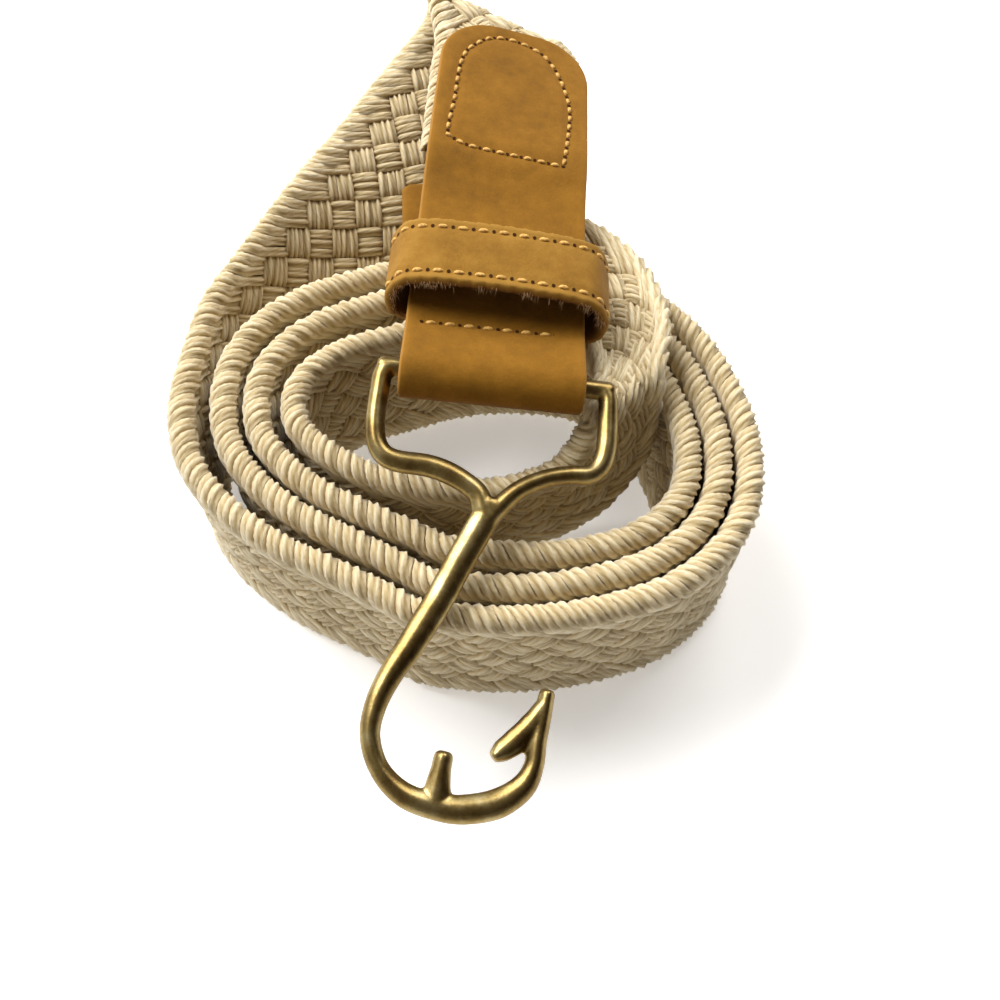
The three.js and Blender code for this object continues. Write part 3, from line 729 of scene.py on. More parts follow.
@dataclass
class Mesh:
    """Points, faces and per-vertex values of one piece, gathered before the object is made."""

    points: list[Array] = field(default_factory=list)
    faces: list[Array] = field(default_factory=list)
    values: dict[str, list[Array]] = field(default_factory=dict)
    uv: list[Array] = field(default_factory=list)
    count: int = 0

    def add(self, points: Array, faces: Array, uv: Array | None = None, **values: Array) -> None:
        """Adds a patch.

        Args:
            points: N x 3 points in the belt's frame.
            faces: M x 4 indices into them.
            uv: N x 2 coordinates, millimetres along a cord and radians round it.
            values: Named values, one for each point.
        """
        self.points.append(points)
        self.faces.append(faces + self.count)
        self.count += len(points)
        for key, value in values.items():
            self.values.setdefault(key, []).append(np.broadcast_to(value, len(points)))
        if uv is not None:
            self.uv.append(uv)

    def make(self, name: str, material: bpy.types.Material, placed: bool = True) -> bpy.types.Object:
        """The object of this mesh, smooth shaded, at the origin.

        Args:
            name: The object's name.
            material: Its material.
            placed: True if the points are in the belt's frame and still have to be shifted.

        Returns:
            The object.
        """
        points = np.concatenate(self.points)
        points = Placement.metres(points) if placed else points
        faces = np.concatenate(self.faces)
        mesh = bpy.data.meshes.new(name)
        mesh.vertices.add(len(points))
        mesh.vertices.foreach_set("co", points.astype(np.float32).ravel())
        mesh.loops.add(faces.size)
        mesh.loops.foreach_set("vertex_index", faces.astype(np.int32).ravel())
        mesh.polygons.add(len(faces))
        mesh.polygons.foreach_set("loop_start", np.arange(0, faces.size, 4, dtype=np.int32))
        mesh.polygons.foreach_set("use_smooth", np.ones(len(faces), bool))
        mesh.update(calc_edges=True)
        for key, value in self.values.items():
            layer = mesh.attributes.new(key, "FLOAT", "POINT")
            layer.data.foreach_set("value", np.concatenate(value).astype(np.float32))
        if self.uv:
            flat = np.concatenate(self.uv)[faces.ravel()].reshape(-1, 4, 2)
            around = flat[..., 1]
            seam = np.ptp(around, axis=1) > math.pi
            around[seam[:, None] & (around < math.pi)] += 2 * math.pi
            mesh.uv_layers.new(name="along").data.foreach_set("uv", flat.astype(np.float32).ravel())
        mesh.validate()
        obj = bpy.data.objects.new(name, mesh)
        obj.data.materials.append(material)
        bpy.context.scene.collection.objects.link(obj)
        log.info("%s: %d faces", name, len(faces))
        return obj


def grid_faces(rows: int, columns: int, closed: bool = True) -> Array:
    """Quads between rows of points, each row closed on itself or open.

    Args:
        rows: Number of rows.
        columns: Points in a row.
        closed: True if the last point of a row joins the first.

    Returns:
        M x 4 indices.
    """
    r, c = np.meshgrid(np.arange(rows - 1), np.arange(columns if closed else columns - 1), indexing="ij")
    a, b = r * columns + c, r * columns + (c + 1) % columns
    return np.stack([a, b, b + columns, a + columns], -1).reshape(-1, 4)


def tube_faces(rows: int, sides: int) -> Array:
    """Quads round a tube's rings and fans that close its ends, for points as ``with_centres`` lists them.

    Args:
        rows: Number of rings.
        sides: Points in a ring, an even number.

    Returns:
        M x 4 indices.
    """
    k = np.arange(0, sides, 2)
    ring = np.column_stack([k, (k + 1) % sides, (k + 2) % sides])
    first = np.column_stack([ring[:, ::-1], np.full(len(k), rows * sides)])
    last = np.column_stack([ring + (rows - 1) * sides, np.full(len(k), rows * sides + 1)])
    return np.concatenate([grid_faces(rows, sides), first, last])


def with_centres(values: Array) -> Array:
    """The values of a tube's rings in one list, then the mean of the first ring and that of the last one.

    Args:
        values: Rings x points, or rings x points x parts.

    Returns:
        A value, or a row of parts, for each point and for the two centres.
    """
    return np.concatenate([values.reshape(-1, *values.shape[2:]), values[:1].mean(1), values[-1:].mean(1)])


def settle(obj: bpy.types.Object, body: str, slot: Slot, *nodes: str) -> None:
    """Rides a piece on its body and hides the CAD nodes that it stands for.

    Args:
        obj: The piece.
        body: The body that carries it.
        slot: Its material slot; not used.
        nodes: The CAD nodes that it replaces.
    """
    if nodes:
        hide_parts(*nodes)
    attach(obj, body)


def melt(obj: bpy.types.Object, voxel: float, rounds: int) -> None:
    """Joins a mesh's overlapping forms into one skin and rounds its edges.

    Args:
        obj: The piece, at the origin.
        voxel: The skin's grain in the mesh's own unit.
        rounds: How often the skin is smoothed.
    """
    bpy.context.view_layer.objects.active = obj
    obj.select_set(True)
    remesh = obj.modifiers.new("melt", "REMESH")
    remesh.mode = "VOXEL"
    remesh.voxel_size = voxel
    remesh.use_smooth_shade = True
    soften = obj.modifiers.new("tumble", "SMOOTH")
    soften.factor, soften.iterations = 0.5, rounds
    for name in ("melt", "tumble"):
        bpy.ops.object.modifier_apply(modifier=name)
    obj.select_set(False)


@dataclass
class Braid:
    """A flat plain braid: bundles of cords cross at 45 degrees, over one and under one, and turn round both
    edges, which makes the rope-like edges.

    A cord is two strands side by side. Sizes are in millimetres. cord_wide, strand_apart, strand_high, groove
    and edge_spread are shares of the cord's radius, roll is in radians, and edge_rise is a share of the half
    width. crossing says how sharply a cord changes side, and first and last how far the cords stop short of
    the route's ends.
    """

    bundles: int = 8
    cords: int = 3
    cord_radius: float = 1.06
    cord_wide: float = 1.04
    strand_apart: float = 0.6
    strand_high: float = 0.97
    groove: float = 0.56
    roll: float = 0.4
    lift: float = 0.98
    edge_travel: float = 3.4
    edge_spread: float = 0.2
    edge_rise: float = 0.65
    edge_fade: float = 2.5
    crossing: float = 2.0
    wobble: tuple[float, float] = (0.12, 0.08)
    wobble_reach: float = 14
    ring_step: float = 0.85
    first: float = 1.6
    last: float = 0.5

    def section(self) -> tuple[Array, Array]:
        """A cord's section as shares of its radius: two strands side by side, a groove between them.

        Returns:
            Offsets to the side and outward.
        """
        x = np.array([self.cord_wide, self.strand_apart, 0, -self.strand_apart])
        z = np.array([0, self.strand_high, self.groove, self.strand_high])
        return np.concatenate([x, -x]), np.concatenate([z, -z])

    def centre(self, cord: int, u: Array) -> tuple[Array, Array, Array, Array, Array]:
        """A cord's place across (v) and through (h) the braid at lengths u.

        The cord goes across from the left edge to the right and back in twice the braid's width of length.
        Across the middle it is lifted by +-lift, flattened, changing side at each crossing. At the edge ropes
        it goes round on a half circle.

        Args:
            cord: The cord's number.
            u: Lengths along the braid.

        Returns:
            The two offsets in millimetres, the two parts of the direction that the cord turns outward, and 1
            round the edges and 0 across the middle.
        """
        width, pitch = S.band_width, 2 * S.band_width / (self.bundles * self.cords)
        radius = S.rope_thick / 2 - self.cord_radius
        line = width / 2 - self.cord_radius - radius
        slope = 2 * line / (width - self.edge_travel)
        shift = ((cord % self.cords) - (self.cords - 1) / 2) * pitch
        travel = np.mod(u - cord * pitch, 2 * width)
        right = travel < width
        v = slope * np.where(right, travel - width / 2, 1.5 * width - travel)
        local = v + np.where(right, 0.5, -0.5) * slope * shift
        cell = slope * width / self.bundles
        phase = np.clip(local / cell, 1 - self.bundles / 2, self.bundles / 2 - 1)
        wave = np.tanh(self.crossing * np.cos(np.pi * phase)) / math.tanh(self.crossing)
        rise = self.edge_rise * width / 2
        edge = smooth((np.abs(v) - rise) / (line - rise))
        h = np.where(right, 1, -1) * wave * (self.lift + (radius - self.lift) * edge)
        turn = np.where(travel > 1.5 * width, travel - 2 * width,
                        np.where(travel < width / 2, travel, travel - width))
        on_right = np.abs(travel - width) < self.edge_travel / 2
        on_left = ~on_right & (np.abs(turn) < self.edge_travel / 2)
        angle = np.pi * np.clip(turn / self.edge_travel, -0.5, 0.5)
        # 1 round the right edge, -1 round the left one and 0 between, where outward is through the braid.
        rim = np.where(on_right, 1.0, np.where(on_left, -1.0, 0.0))
        v = np.where(rim == 0, v, rim * (line + radius * np.cos(angle)))
        h = np.where(rim == 0, h, rim * radius * np.sin(angle))
        out_v = rim * np.cos(angle)
        out_h = np.where(rim == 0, np.where(right, -1.0, 1.0), rim * np.sin(angle))
        return v, h, out_v, out_h, smooth((np.abs(v) - line + self.edge_fade) / self.edge_fade)

    def add_cord(self, gathered: Mesh, cord: int, u: Array, route: tuple[Array, ...]) -> None:
        """Adds a cord: its section carried along its centre, rolled a little to and fro, wider at the edges.

        Each point also has its depth, 0 in the heart of the braid and 1 on its face, which the material
        paints as shade, and its crest value, 1 on the ridges of the strands and 0 in the groove, which it
        paints as a highlight on the ridges and as shade in the groove.

        Args:
            gathered: Takes the cord.
            cord: The cord's number.
            u: Lengths along the braid.
            route: The braid's frame there.
        """
        middle, w, n, half, thick = route
        sx, sz = self.section()
        sides = len(sx)
        v, h, out_v, out_h, rim = self.centre(cord, u)
        # Uneven tension: the cord strays across on two slow waves, but not round the edges.
        stray = self.wobble[0] * np.sin(u / 7.3 + 2.1 * cord) + self.wobble[1] * np.sin(u / 3.1 + 1.3 * cord)
        across = v + stray * (np.abs(v) < self.wobble_reach)
        across = across * (half + S.rope_thick / 2) / (S.band_width / 2)
        centre = middle + w * across[:, None] + n * (h * thick)[:, None]
        tangent = unit(np.gradient(centre, axis=0))
        side = unit(np.cross(tangent, w * out_v[:, None] + n * out_h[:, None]))
        up = np.cross(side, tangent)
        run = running(centre)
        roll = (self.roll * np.sin(run / 5.3 + 1.9 * cord))[:, None]
        wide = (self.cord_wide + self.edge_spread * rim)[:, None]
        x = self.cord_radius * (sx * np.cos(roll) - sz * np.sin(roll))
        z = self.cord_radius * (sx * np.sin(roll) + sz * np.cos(roll))
        ring = (centre[:, None] + side[:, None] * (x * wide)[..., None]
                + up[:, None] * (z * thick[:, None] * 0.96)[..., None])
        # Depth, for the cotton's painted shade: 0 in the heart of the braid and 1 on its face.
        far = v[:, None] + z * np.sum(up * w, 1)[:, None]
        height = h[:, None] + z * np.sum(up * n, 1)[:, None]
        inner = S.band_width / 2 - S.rope_thick / 2
        depth = np.where(np.abs(far) > inner, np.hypot(np.abs(far) - inner, height) / (S.rope_thick / 2),
                         np.abs(height) / (self.lift + self.cord_radius))
        # Crest value, for the cotton's painted highlight and shade: 1 on the strands' ridges, 0.45 on their
        # sides and 0 in the groove between them.
        ridge = np.where(np.abs(sx) < 0.1, 0.0, np.where(np.abs(sz) < 0.1, 0.45, 1.0))
        phi = 2 * np.pi * np.arange(sides) / sides
        # Each cord starts elsewhere in the pattern of its material.
        uv = np.stack(np.broadcast_arrays(run[:, None] + 31.7 * cord, phi), -1)
        gathered.add(with_centres(ring), tube_faces(len(u), sides)[:, ::-1], with_centres(uv),
                     depth=with_centres(np.clip(depth, 0, 1.1)),
                     crest_highlight=with_centres(np.broadcast_to(ridge, x.shape)))

    def build(self, material: bpy.types.Material) -> None:
        """Makes one piece of each bundle.

        Args:
            material: The cord's material.
        """
        count = int(ROUTE.total * math.sqrt(2) / self.ring_step)
        u = np.linspace(self.first, ROUTE.total - self.last, count)
        route = ROUTE.frame_at(u)
        for bundle in range(self.bundles):
            gathered = Mesh()
            for k in range(self.cords):
                self.add_cord(gathered, bundle * self.cords + k, u, route)
            settle(gathered.make(f"cord_bundle_{bundle + 1}", material), "strap", Slot.COTTON,
                   *(["braided_band"] if bundle == 0 else []))


def strip_section(half: Array, thick: float, columns: int) -> tuple[Array, Array, Array]:
    """A flat strip's section with rounded edges, for each row.

    Args:
        half: Half widths, one for each row.
        thick: The leather's thickness.
        columns: Points along each face.

    Returns:
        Across offsets and through offsets (rows x points), and 1 on the cut edge and 0 on the faces.
    """
    radius = thick / 2
    face = np.linspace(-1, 1, columns)
    arc = np.linspace(90, -90, 7)[1:-1]
    x = np.concatenate([face, np.ones(5), -face, -np.ones(5)])
    extra = np.concatenate([0 * face, np.cos(np.radians(arc)), 0 * face, -np.cos(np.radians(arc))])
    z = np.concatenate([radius + 0 * face, radius * np.sin(np.radians(arc)), -radius + 0 * face,
                        -radius * np.sin(np.radians(arc))])
    edge = np.concatenate([0 * face, np.ones(5), 0 * face, np.ones(5)])
    inset = np.minimum(radius * 0.6, half * 0.9)
    across = x[None] * (half - inset)[:, None] + extra[None] * inset[:, None]
    return across, np.broadcast_to(z, across.shape).copy(), edge


def add_strip(mesh: Mesh, rings: Array, closed: bool, **values: Array) -> None:
    """Adds a strip of leather.

    Args:
        mesh: Takes the strip.
        rings: Rows x points x 3, the strip's section at each row.
        closed: True if the last row joins the first, False if both ends are capped.
        values: Named values, one for each point. The centres of the caps are cut edges without wear.
    """
    rows, sides = rings.shape[:2]
    flat = {key: np.broadcast_to(value, (rows, sides)).ravel() for key, value in values.items()}
    if closed:
        mesh.add(rings.reshape(-1, 3), grid_faces(rows + 1, sides) % (rows * sides), **flat)
        return
    ends = {"edge": (1, 1), "wear": (0, 0)}
    mesh.add(with_centres(rings), tube_faces(rows, sides),
             **{key: np.append(value, ends[key]) for key, value in flat.items()})


@dataclass(frozen=True)
class Stitches:
    """A row of saddle stitches with the holes between them, dark discs of painted shade, in millimetres. arch
    is how high a stitch stands in its middle and sunk how deep its ends lie."""

    pitch: float
    length: float
    radius: float = 0.42
    arch: float = 0.22
    sunk: float = 0.16
    rings: int = 9
    sides: int = 8

    def build(self, mesh: Mesh, holes: Mesh, line: Array, normal: Array, closed: bool = False) -> None:
        """Adds the stitches along a line that lies on the leather's surface.

        A stitch is a rod along the line that arches by arch * (1 - x^2) for x from -1 to 1, with a radius
        that falls to nothing at its ends. A hole is a small shallow disc whose dark material paints the shade
        in the hole.

        Args:
            mesh: Takes the thread.
            holes: Takes the holes, dark discs of painted shade.
            line: N x 3 points in the belt's frame.
            normal: N x 3 outward directions of the leather there.
            closed: True if the line meets itself.
        """
        run = running(line)
        count = max(1, round(run[-1] / self.pitch))
        step = run[-1] / count

        def read(s: Array, values: Array) -> Array:
            """N x 3 values of the line at lengths s along it."""
            return np.stack([np.interp(s, run, values[:, k]) for k in range(3)], -1)

        x = np.linspace(-1, 1, self.rings)
        phi = 2 * np.pi * np.arange(self.sides) / self.sides
        r = (self.radius * np.sqrt(np.clip(1 - np.abs(x) ** 3.2, 0.02, 1)))[:, None]
        faces = tube_faces(self.rings, self.sides)[:, ::-1]
        for i in range(count):
            s = (i + 0.5) * step + x * self.length / 2
            centre, up = read(s, line), unit(read(s, normal))
            centre = centre + up * (self.arch * (1 - x**2) - self.sunk)[:, None]
            side = unit(np.cross(unit(np.gradient(centre, axis=0)), up))
            mesh.add(with_centres(centre[:, None] + side[:, None] * (r * np.cos(phi))[..., None]
                                  + up[:, None] * (r * np.sin(phi) * 0.8)[..., None]), faces)
        spots = np.arange(count + (0 if closed else 1)) * step
        centre, up = read(spots, line), unit(read(spots, normal))
        ahead = unit(read(spots + 0.2, line) - read(spots - 0.2, line))
        side = unit(np.cross(ahead, up))
        # Each hole is a flat dark disc that paints the shade in it.
        radii = np.array([0.02, 0.3, 0.44])[:, None]
        for c, a, b, o in zip(centre, ahead, side, up):
            disc = (c + o * 0.045 + a * (radii * np.cos(phi))[..., None] * 0.8
                    + b * (radii * np.sin(phi))[..., None])
            holes.add(disc.reshape(-1, 3), grid_faces(len(radii), self.sides))


@dataclass
class Tab:
    """The tab: one strip of leather folded round the buckle's bar, sewn in a D at the braid and in a row
    by the bar.

    The row is placed by its distance from the bar and its two ends across the tab. end_span is the length at
    each end of the strip with finer rows of points, and pull and pull_width say how the thread draws the
    leather in.
    """

    seam_row: float = 9.5
    row_from: float = -13.5
    row_to: float = 10.8
    row_stitches: Stitches = Stitches(3.6, 2.0)
    arch_stitches: Stitches = Stitches(2.85, 1.75)
    end_span: float = 14
    pull: float = 0.34
    pull_width: float = 0.8

    def profile(self) -> Array:
        """The strip's middle line in side view, from the lower layer's end round the bar to the upper layer's
        end: two layers that touch, with a pocket for the braid at their ends and an eye round the bar.

        Returns:
            N x 2 points, away from the bar and up.
        """
        half = S.tab_leather / 2
        pocket = S.rope_thick / 2 * S.pressed + S.fit + half
        eye = S.bar_radius + S.bar_clearance + half
        bend = eye + half
        depth = S.pocket_length
        seam = S.tab_length - depth
        near = [(0.35 * bend, 0.94 * bend - half), (1.3 * bend, 0.72 * bend - half),
                (2.2 * bend, 1.35 * half), (3 * bend, half)]
        far = [(y, half) for y in np.arange(4 * bend, seam - 0.4 * depth, 5)]
        rise = [(seam - 0.3 * depth, half), (seam - 0.15 * depth, half + (pocket - half) * 0.35),
                (seam - 0.04 * depth, half + (pocket - half) * 0.8), (seam + 0.05 * depth, pocket),
                (seam + 0.3 * depth, pocket), (seam + 0.55 * depth, pocket), (seam + 0.775 * depth, pocket),
                (S.tab_length, pocket)]
        top = near + far + rise
        arc = [(eye * math.cos(math.radians(a)) - S.fold_slack, eye * math.sin(math.radians(a)))
               for a in (95, 140, 180, 220, 265)]
        bottom = [(y, -z) for y, z in top[::-1]]
        return np.array(bottom + arc[::-1] + top)

    @staticmethod
    def half_width(y: Array) -> Array:
        """Half the tab's width: straight, then rounded corners (1 - x^2.2)^(1/2) and a bowed end.

        Args:
            y: Distances from the bar.

        Returns:
            Half widths.
        """
        end = S.tab_length + S.tab_crown * 0.1
        corner = S.tab_corner
        into = np.clip((y - (end - corner)) / corner, 0, 1)
        straight = S.tab_width / 2 - corner * 0.93
        rounded = corner * 0.93 * np.sqrt(np.clip(1 - into**2.2, 0, 1))
        return straight + rounded - straight * np.clip((into - 0.93) / 0.07, 0, 1) ** 2

    def stitch_outline(self) -> Array:
        """The D of stitches in the tab's plan, closed by a slanted row over the seam.

        Returns:
            N x 2 points, across and away from the bar.
        """
        scale, base = (S.tab_width / 2, S.pocket_length), (0, S.tab_length - S.pocket_length)
        arch, row = (flat_curve(np.array(points) * scale + base, count)
                     for points, count in ((STITCH_ARCH, 90), (STITCH_ROW, 30)))
        return np.vstack([arch, row[1:-1]])

    def build(self, leather: bpy.types.Material, thread: bpy.types.Material,
              dark: bpy.types.Material) -> None:
        """Makes the strip, its thread and the dark discs of painted shade in its stitch holes.

        The leather is pulled in along the stitches by pull * exp(-(distance / pull_width)^2).

        Args:
            leather: The strip's material.
            thread: The stitches' material.
            dark: The holes' material, a dark colour that paints their shade.
        """
        line = flat_curve(self.profile(), 900)
        run = running(line)
        near = self.end_span * (1 - np.cos(np.linspace(0, np.pi / 2, 16)))
        s = np.concatenate([near, np.linspace(self.end_span, run[-1] - self.end_span, 190)[1:-1],
                            run[-1] - near[::-1]])
        y, z = np.interp(s, run, line[:, 0]), np.interp(s, run, line[:, 1])
        along = unit(np.column_stack([np.gradient(y), np.gradient(z)]))
        out = np.column_stack([-along[:, 1], along[:, 0]])
        half = self.half_width(np.abs(y))
        across, through, edge = strip_section(half, S.tab_leather, 40)
        outline = self.stitch_outline()
        following = np.roll(outline, -1, 0)
        on_top = s > run[-1] / 2
        upper = on_top[:, None] & (through > 0)
        gap = np.full(across.shape, np.inf)
        for a, b in zip(outline, following):
            gap = np.minimum(gap, self._distance(across, y[:, None], a, b))
        beside_row = (across < self.row_from) | (across > self.row_to)
        row = np.where(beside_row, np.inf, np.abs(y[:, None] - self.seam_row))
        pulled = self.pull * np.exp(-(np.minimum(gap, row) / self.pull_width) ** 2) * (through > 0)
        through = through - pulled * np.where(upper, 1, 0.7)
        rings = tab_point(across, y[:, None] + out[:, :1] * through, z[:, None] + out[:, 1:] * through)
        wear = np.exp(-((np.abs(across) - half[:, None]) / 1.5) ** 2) * 0.8
        mesh = Mesh()
        add_strip(mesh, rings, False, edge=edge, wear=wear)
        settle(mesh.make("tab_strip", leather), "strap", Slot.TAN, "leather_tab")

        threads, holes = Mesh(), Mesh()
        arch = np.concatenate([np.linspace(a, b, 3, endpoint=False) for a, b in zip(outline, following)])
        straight = np.column_stack([np.linspace(self.row_from, self.row_to, 40), np.full(40, self.seam_row)])
        for plan, stitches, closed in (
                (arch, self.arch_stitches, True), (straight, self.row_stitches, False)):
            level = np.interp(plan[:, 1], y[on_top], z[on_top]) + S.tab_leather / 2 - 0.2
            place = tab_point(plan[:, 0], plan[:, 1], level)
            normal = unit(tab_point(plan[:, 0], plan[:, 1], level + 1) - place)
            stitches.build(threads, holes, place, normal, closed)
        settle(threads.make("tab_thread", thread), "strap", Slot.TAN)
        settle(holes.make("tab_stitch_holes", dark), "strap", Slot.TAN)

    @staticmethod
    def _distance(x: Array, y: Array, a: Array, b: Array) -> Array:
        """Distance of points from a segment in plan.

        Args:
            x: Across the tab.
            y: Away from the bar.
            a: The segment's start.
            b: The segment's end.

        Returns:
            Distances.
        """
        d = b - a
        t = np.clip(((x - a[0]) * d[0] + (y - a[1]) * d[1]) / max(d @ d, 1e-9), 0, 1)
        return np.hypot(x - a[0] - t * d[0], y - a[1] - t * d[1])


@dataclass
class Keeper:
    """The keeper: a loose loop of leather with a row of stitches along each edge."""

    row_inset: float = 2.1
    shoulder: float = 6.5
    stitches: Stitches = Stitches(3.7, 2.0)
    hairs: int = 420
    clumps: int = 60
    hair_radius: float = 0.06

    def loop(self) -> Array:
        """The strip's middle line: flat below, upright at the sides and arched over the tab.

        Returns:
            N x 2 points, across and up, closed, clockwise from the lower left.
        """
        half = S.keeper_leather / 2
        reach = S.keeper_outer / 2 - half
        floor = -(S.tab_leather + S.fit + half)
        top = S.keeper_rise - half
        low, high = S.keeper_corner - 0.9 * half, self.shoulder - half
        points = [(-reach + low, floor), (-reach * 0.5, floor), (0, floor), (reach * 0.5, floor),
                  (reach - low, floor), (reach - 0.25 * low, floor + 0.25 * low), (reach, floor + low),
                  (reach, 2.0), (reach, top - high),
                  (reach - 0.4 * high, top - 0.31 * high), (reach - high * 1.2, top - 0.3),
                  (reach * 0.35, top + 0.1), (0, top + 0.3)]
        mirrored = [(-x, z) for x, z in points[::-1] if abs(x) > 0.01]
        return np.array(points + mirrored[:-4])

    def fibres(self, ring: Array, out: Array) -> Mesh:
        """Loose fibres on the raw edge nearer the bar, in clumps. Each strays to the side as its length and
        bends towards the strip as the square of its length.

        Args:
            ring: The strip's middle line, (across, up).
            out: The outward direction at each of its points.

        Returns:
            The fibres, each a thin tapering hair.
        """
        chance = np.random.default_rng(7)
        mesh = Mesh()
        count = self.hairs
        clump = chance.choice(np.arange(len(ring)), self.clumps)
        at = (chance.choice(clump, count) + chance.normal(0, 1.6, count).astype(int)) % len(ring)
        through = chance.uniform(-0.5, 0.15, count) * S.keeper_leather
        start_x, start_z = (ring[at] + out[at] * through[:, None]).T
        reach = chance.uniform(0.35, 1.15, count)
        sweep = chance.normal(0, 0.35, (count, 2))
        edge = S.keeper_start + 0.12
        phi = 2 * np.pi * np.arange(3) / 3
        for i in range(count):
            t = np.linspace(0, 1, 4)
            x = start_x[i] + reach[i] * t * sweep[i, 0]
            z = start_z[i] + reach[i] * (t * sweep[i, 1] - 0.5 * t**2 * np.sign(out[at[i], 1]))
            y = edge - reach[i] * t - S.keeper_slant * x
            r = self.hair_radius * (1.05 - t)
            tube_x = x[:, None] + r[:, None] * np.cos(phi)
            tube_z = z[:, None] + r[:, None] * np.sin(phi)
            hair = tab_point(tube_x, np.broadcast_to(y[:, None], tube_x.shape), tube_z)
            mesh.add(hair.reshape(-1, 3), grid_faces(len(t), len(phi)))
        return mesh

    def build(self, leather: bpy.types.Material, thread: bpy.types.Material, dark: bpy.types.Material,
              hide: bpy.types.Material) -> None:
        """Makes the loop, its thread, the dark discs of painted shade in its stitch holes and the fibres of
        its raw edge.

        Args:
            leather: The loop's material.
            thread: The stitches' material.
            dark: The holes' material, a dark colour that paints their shade.
            hide: The fibres' material.
        """
        path = self.loop()
        line = flat_curve(np.vstack([path, path[:1]]), 1200)
        run = running(line)
        s = np.linspace(0, run[-1], 181)[:-1]
        x, z = np.interp(s, run, line[:, 0]), np.interp(s, run, line[:, 1])
        along = unit(np.column_stack([np.roll(x, -1) - np.roll(x, 1), np.roll(z, -1) - np.roll(z, 1)]))
        out = np.column_stack([along[:, 1], -along[:, 0]])
        half = np.full(len(s), S.keeper_width / 2)
        across, through, edge = strip_section(half, S.keeper_leather, 22)
        # The cut edges aren't straight: two waves of 0.1 and 0.08 mm along them.
        fuzz = (0.1 * np.sin(s * 2.3) + 0.08 * np.sin(s * 5.1 + 1))[:, None] * edge
        flesh = smooth(0.62 - through / S.keeper_leather)
        gap = np.abs(np.abs(across) - (S.keeper_width / 2 - self.row_inset))
        through = through - 0.3 * np.exp(-(gap / 0.8) ** 2) * (through > 0) * (z > 1)[:, None]
        middle = S.keeper_start + S.keeper_width / 2
        px = x[:, None] + out[:, :1] * through
        rings = tab_point(px, middle + across + fuzz * np.sign(across) - S.keeper_slant * px,
                          z[:, None] + out[:, 1:] * through)
        wear = np.exp(-((np.abs(across) - half[:, None]) / 1.3) ** 2) * (1 - flesh)
        mesh = Mesh()
        add_strip(mesh, rings, True, edge=flesh, wear=wear)
        settle(mesh.make("keeper_strip", leather), "strap", Slot.LIGHT, "keeper_loop")

        threads, holes = Mesh(), Mesh()
        ring = np.column_stack([x, z])
        over = np.flatnonzero(z > 1.0)
        over = over[np.argsort(x[over])]
        arch = ring[over] + out[over] * (S.keeper_leather / 2 - 0.18)
        for sign in (-1, 1):
            y = middle + sign * (S.keeper_width / 2 - self.row_inset) - S.keeper_slant * arch[:, 0]
            place = tab_point(arch[:, 0], y, arch[:, 1])
            normal = unit(tab_point(arch[:, 0] + out[over, 0], y, arch[:, 1] + out[over, 1]) - place)
            self.stitches.build(threads, holes, place, normal)
        settle(threads.make("keeper_thread", thread), "strap", Slot.LIGHT)
        settle(holes.make("keeper_stitch_holes", dark), "strap", Slot.LIGHT)
        settle(self.fibres(ring, out).make("keeper_raw_fibres", hide), "strap", Slot.LIGHT)


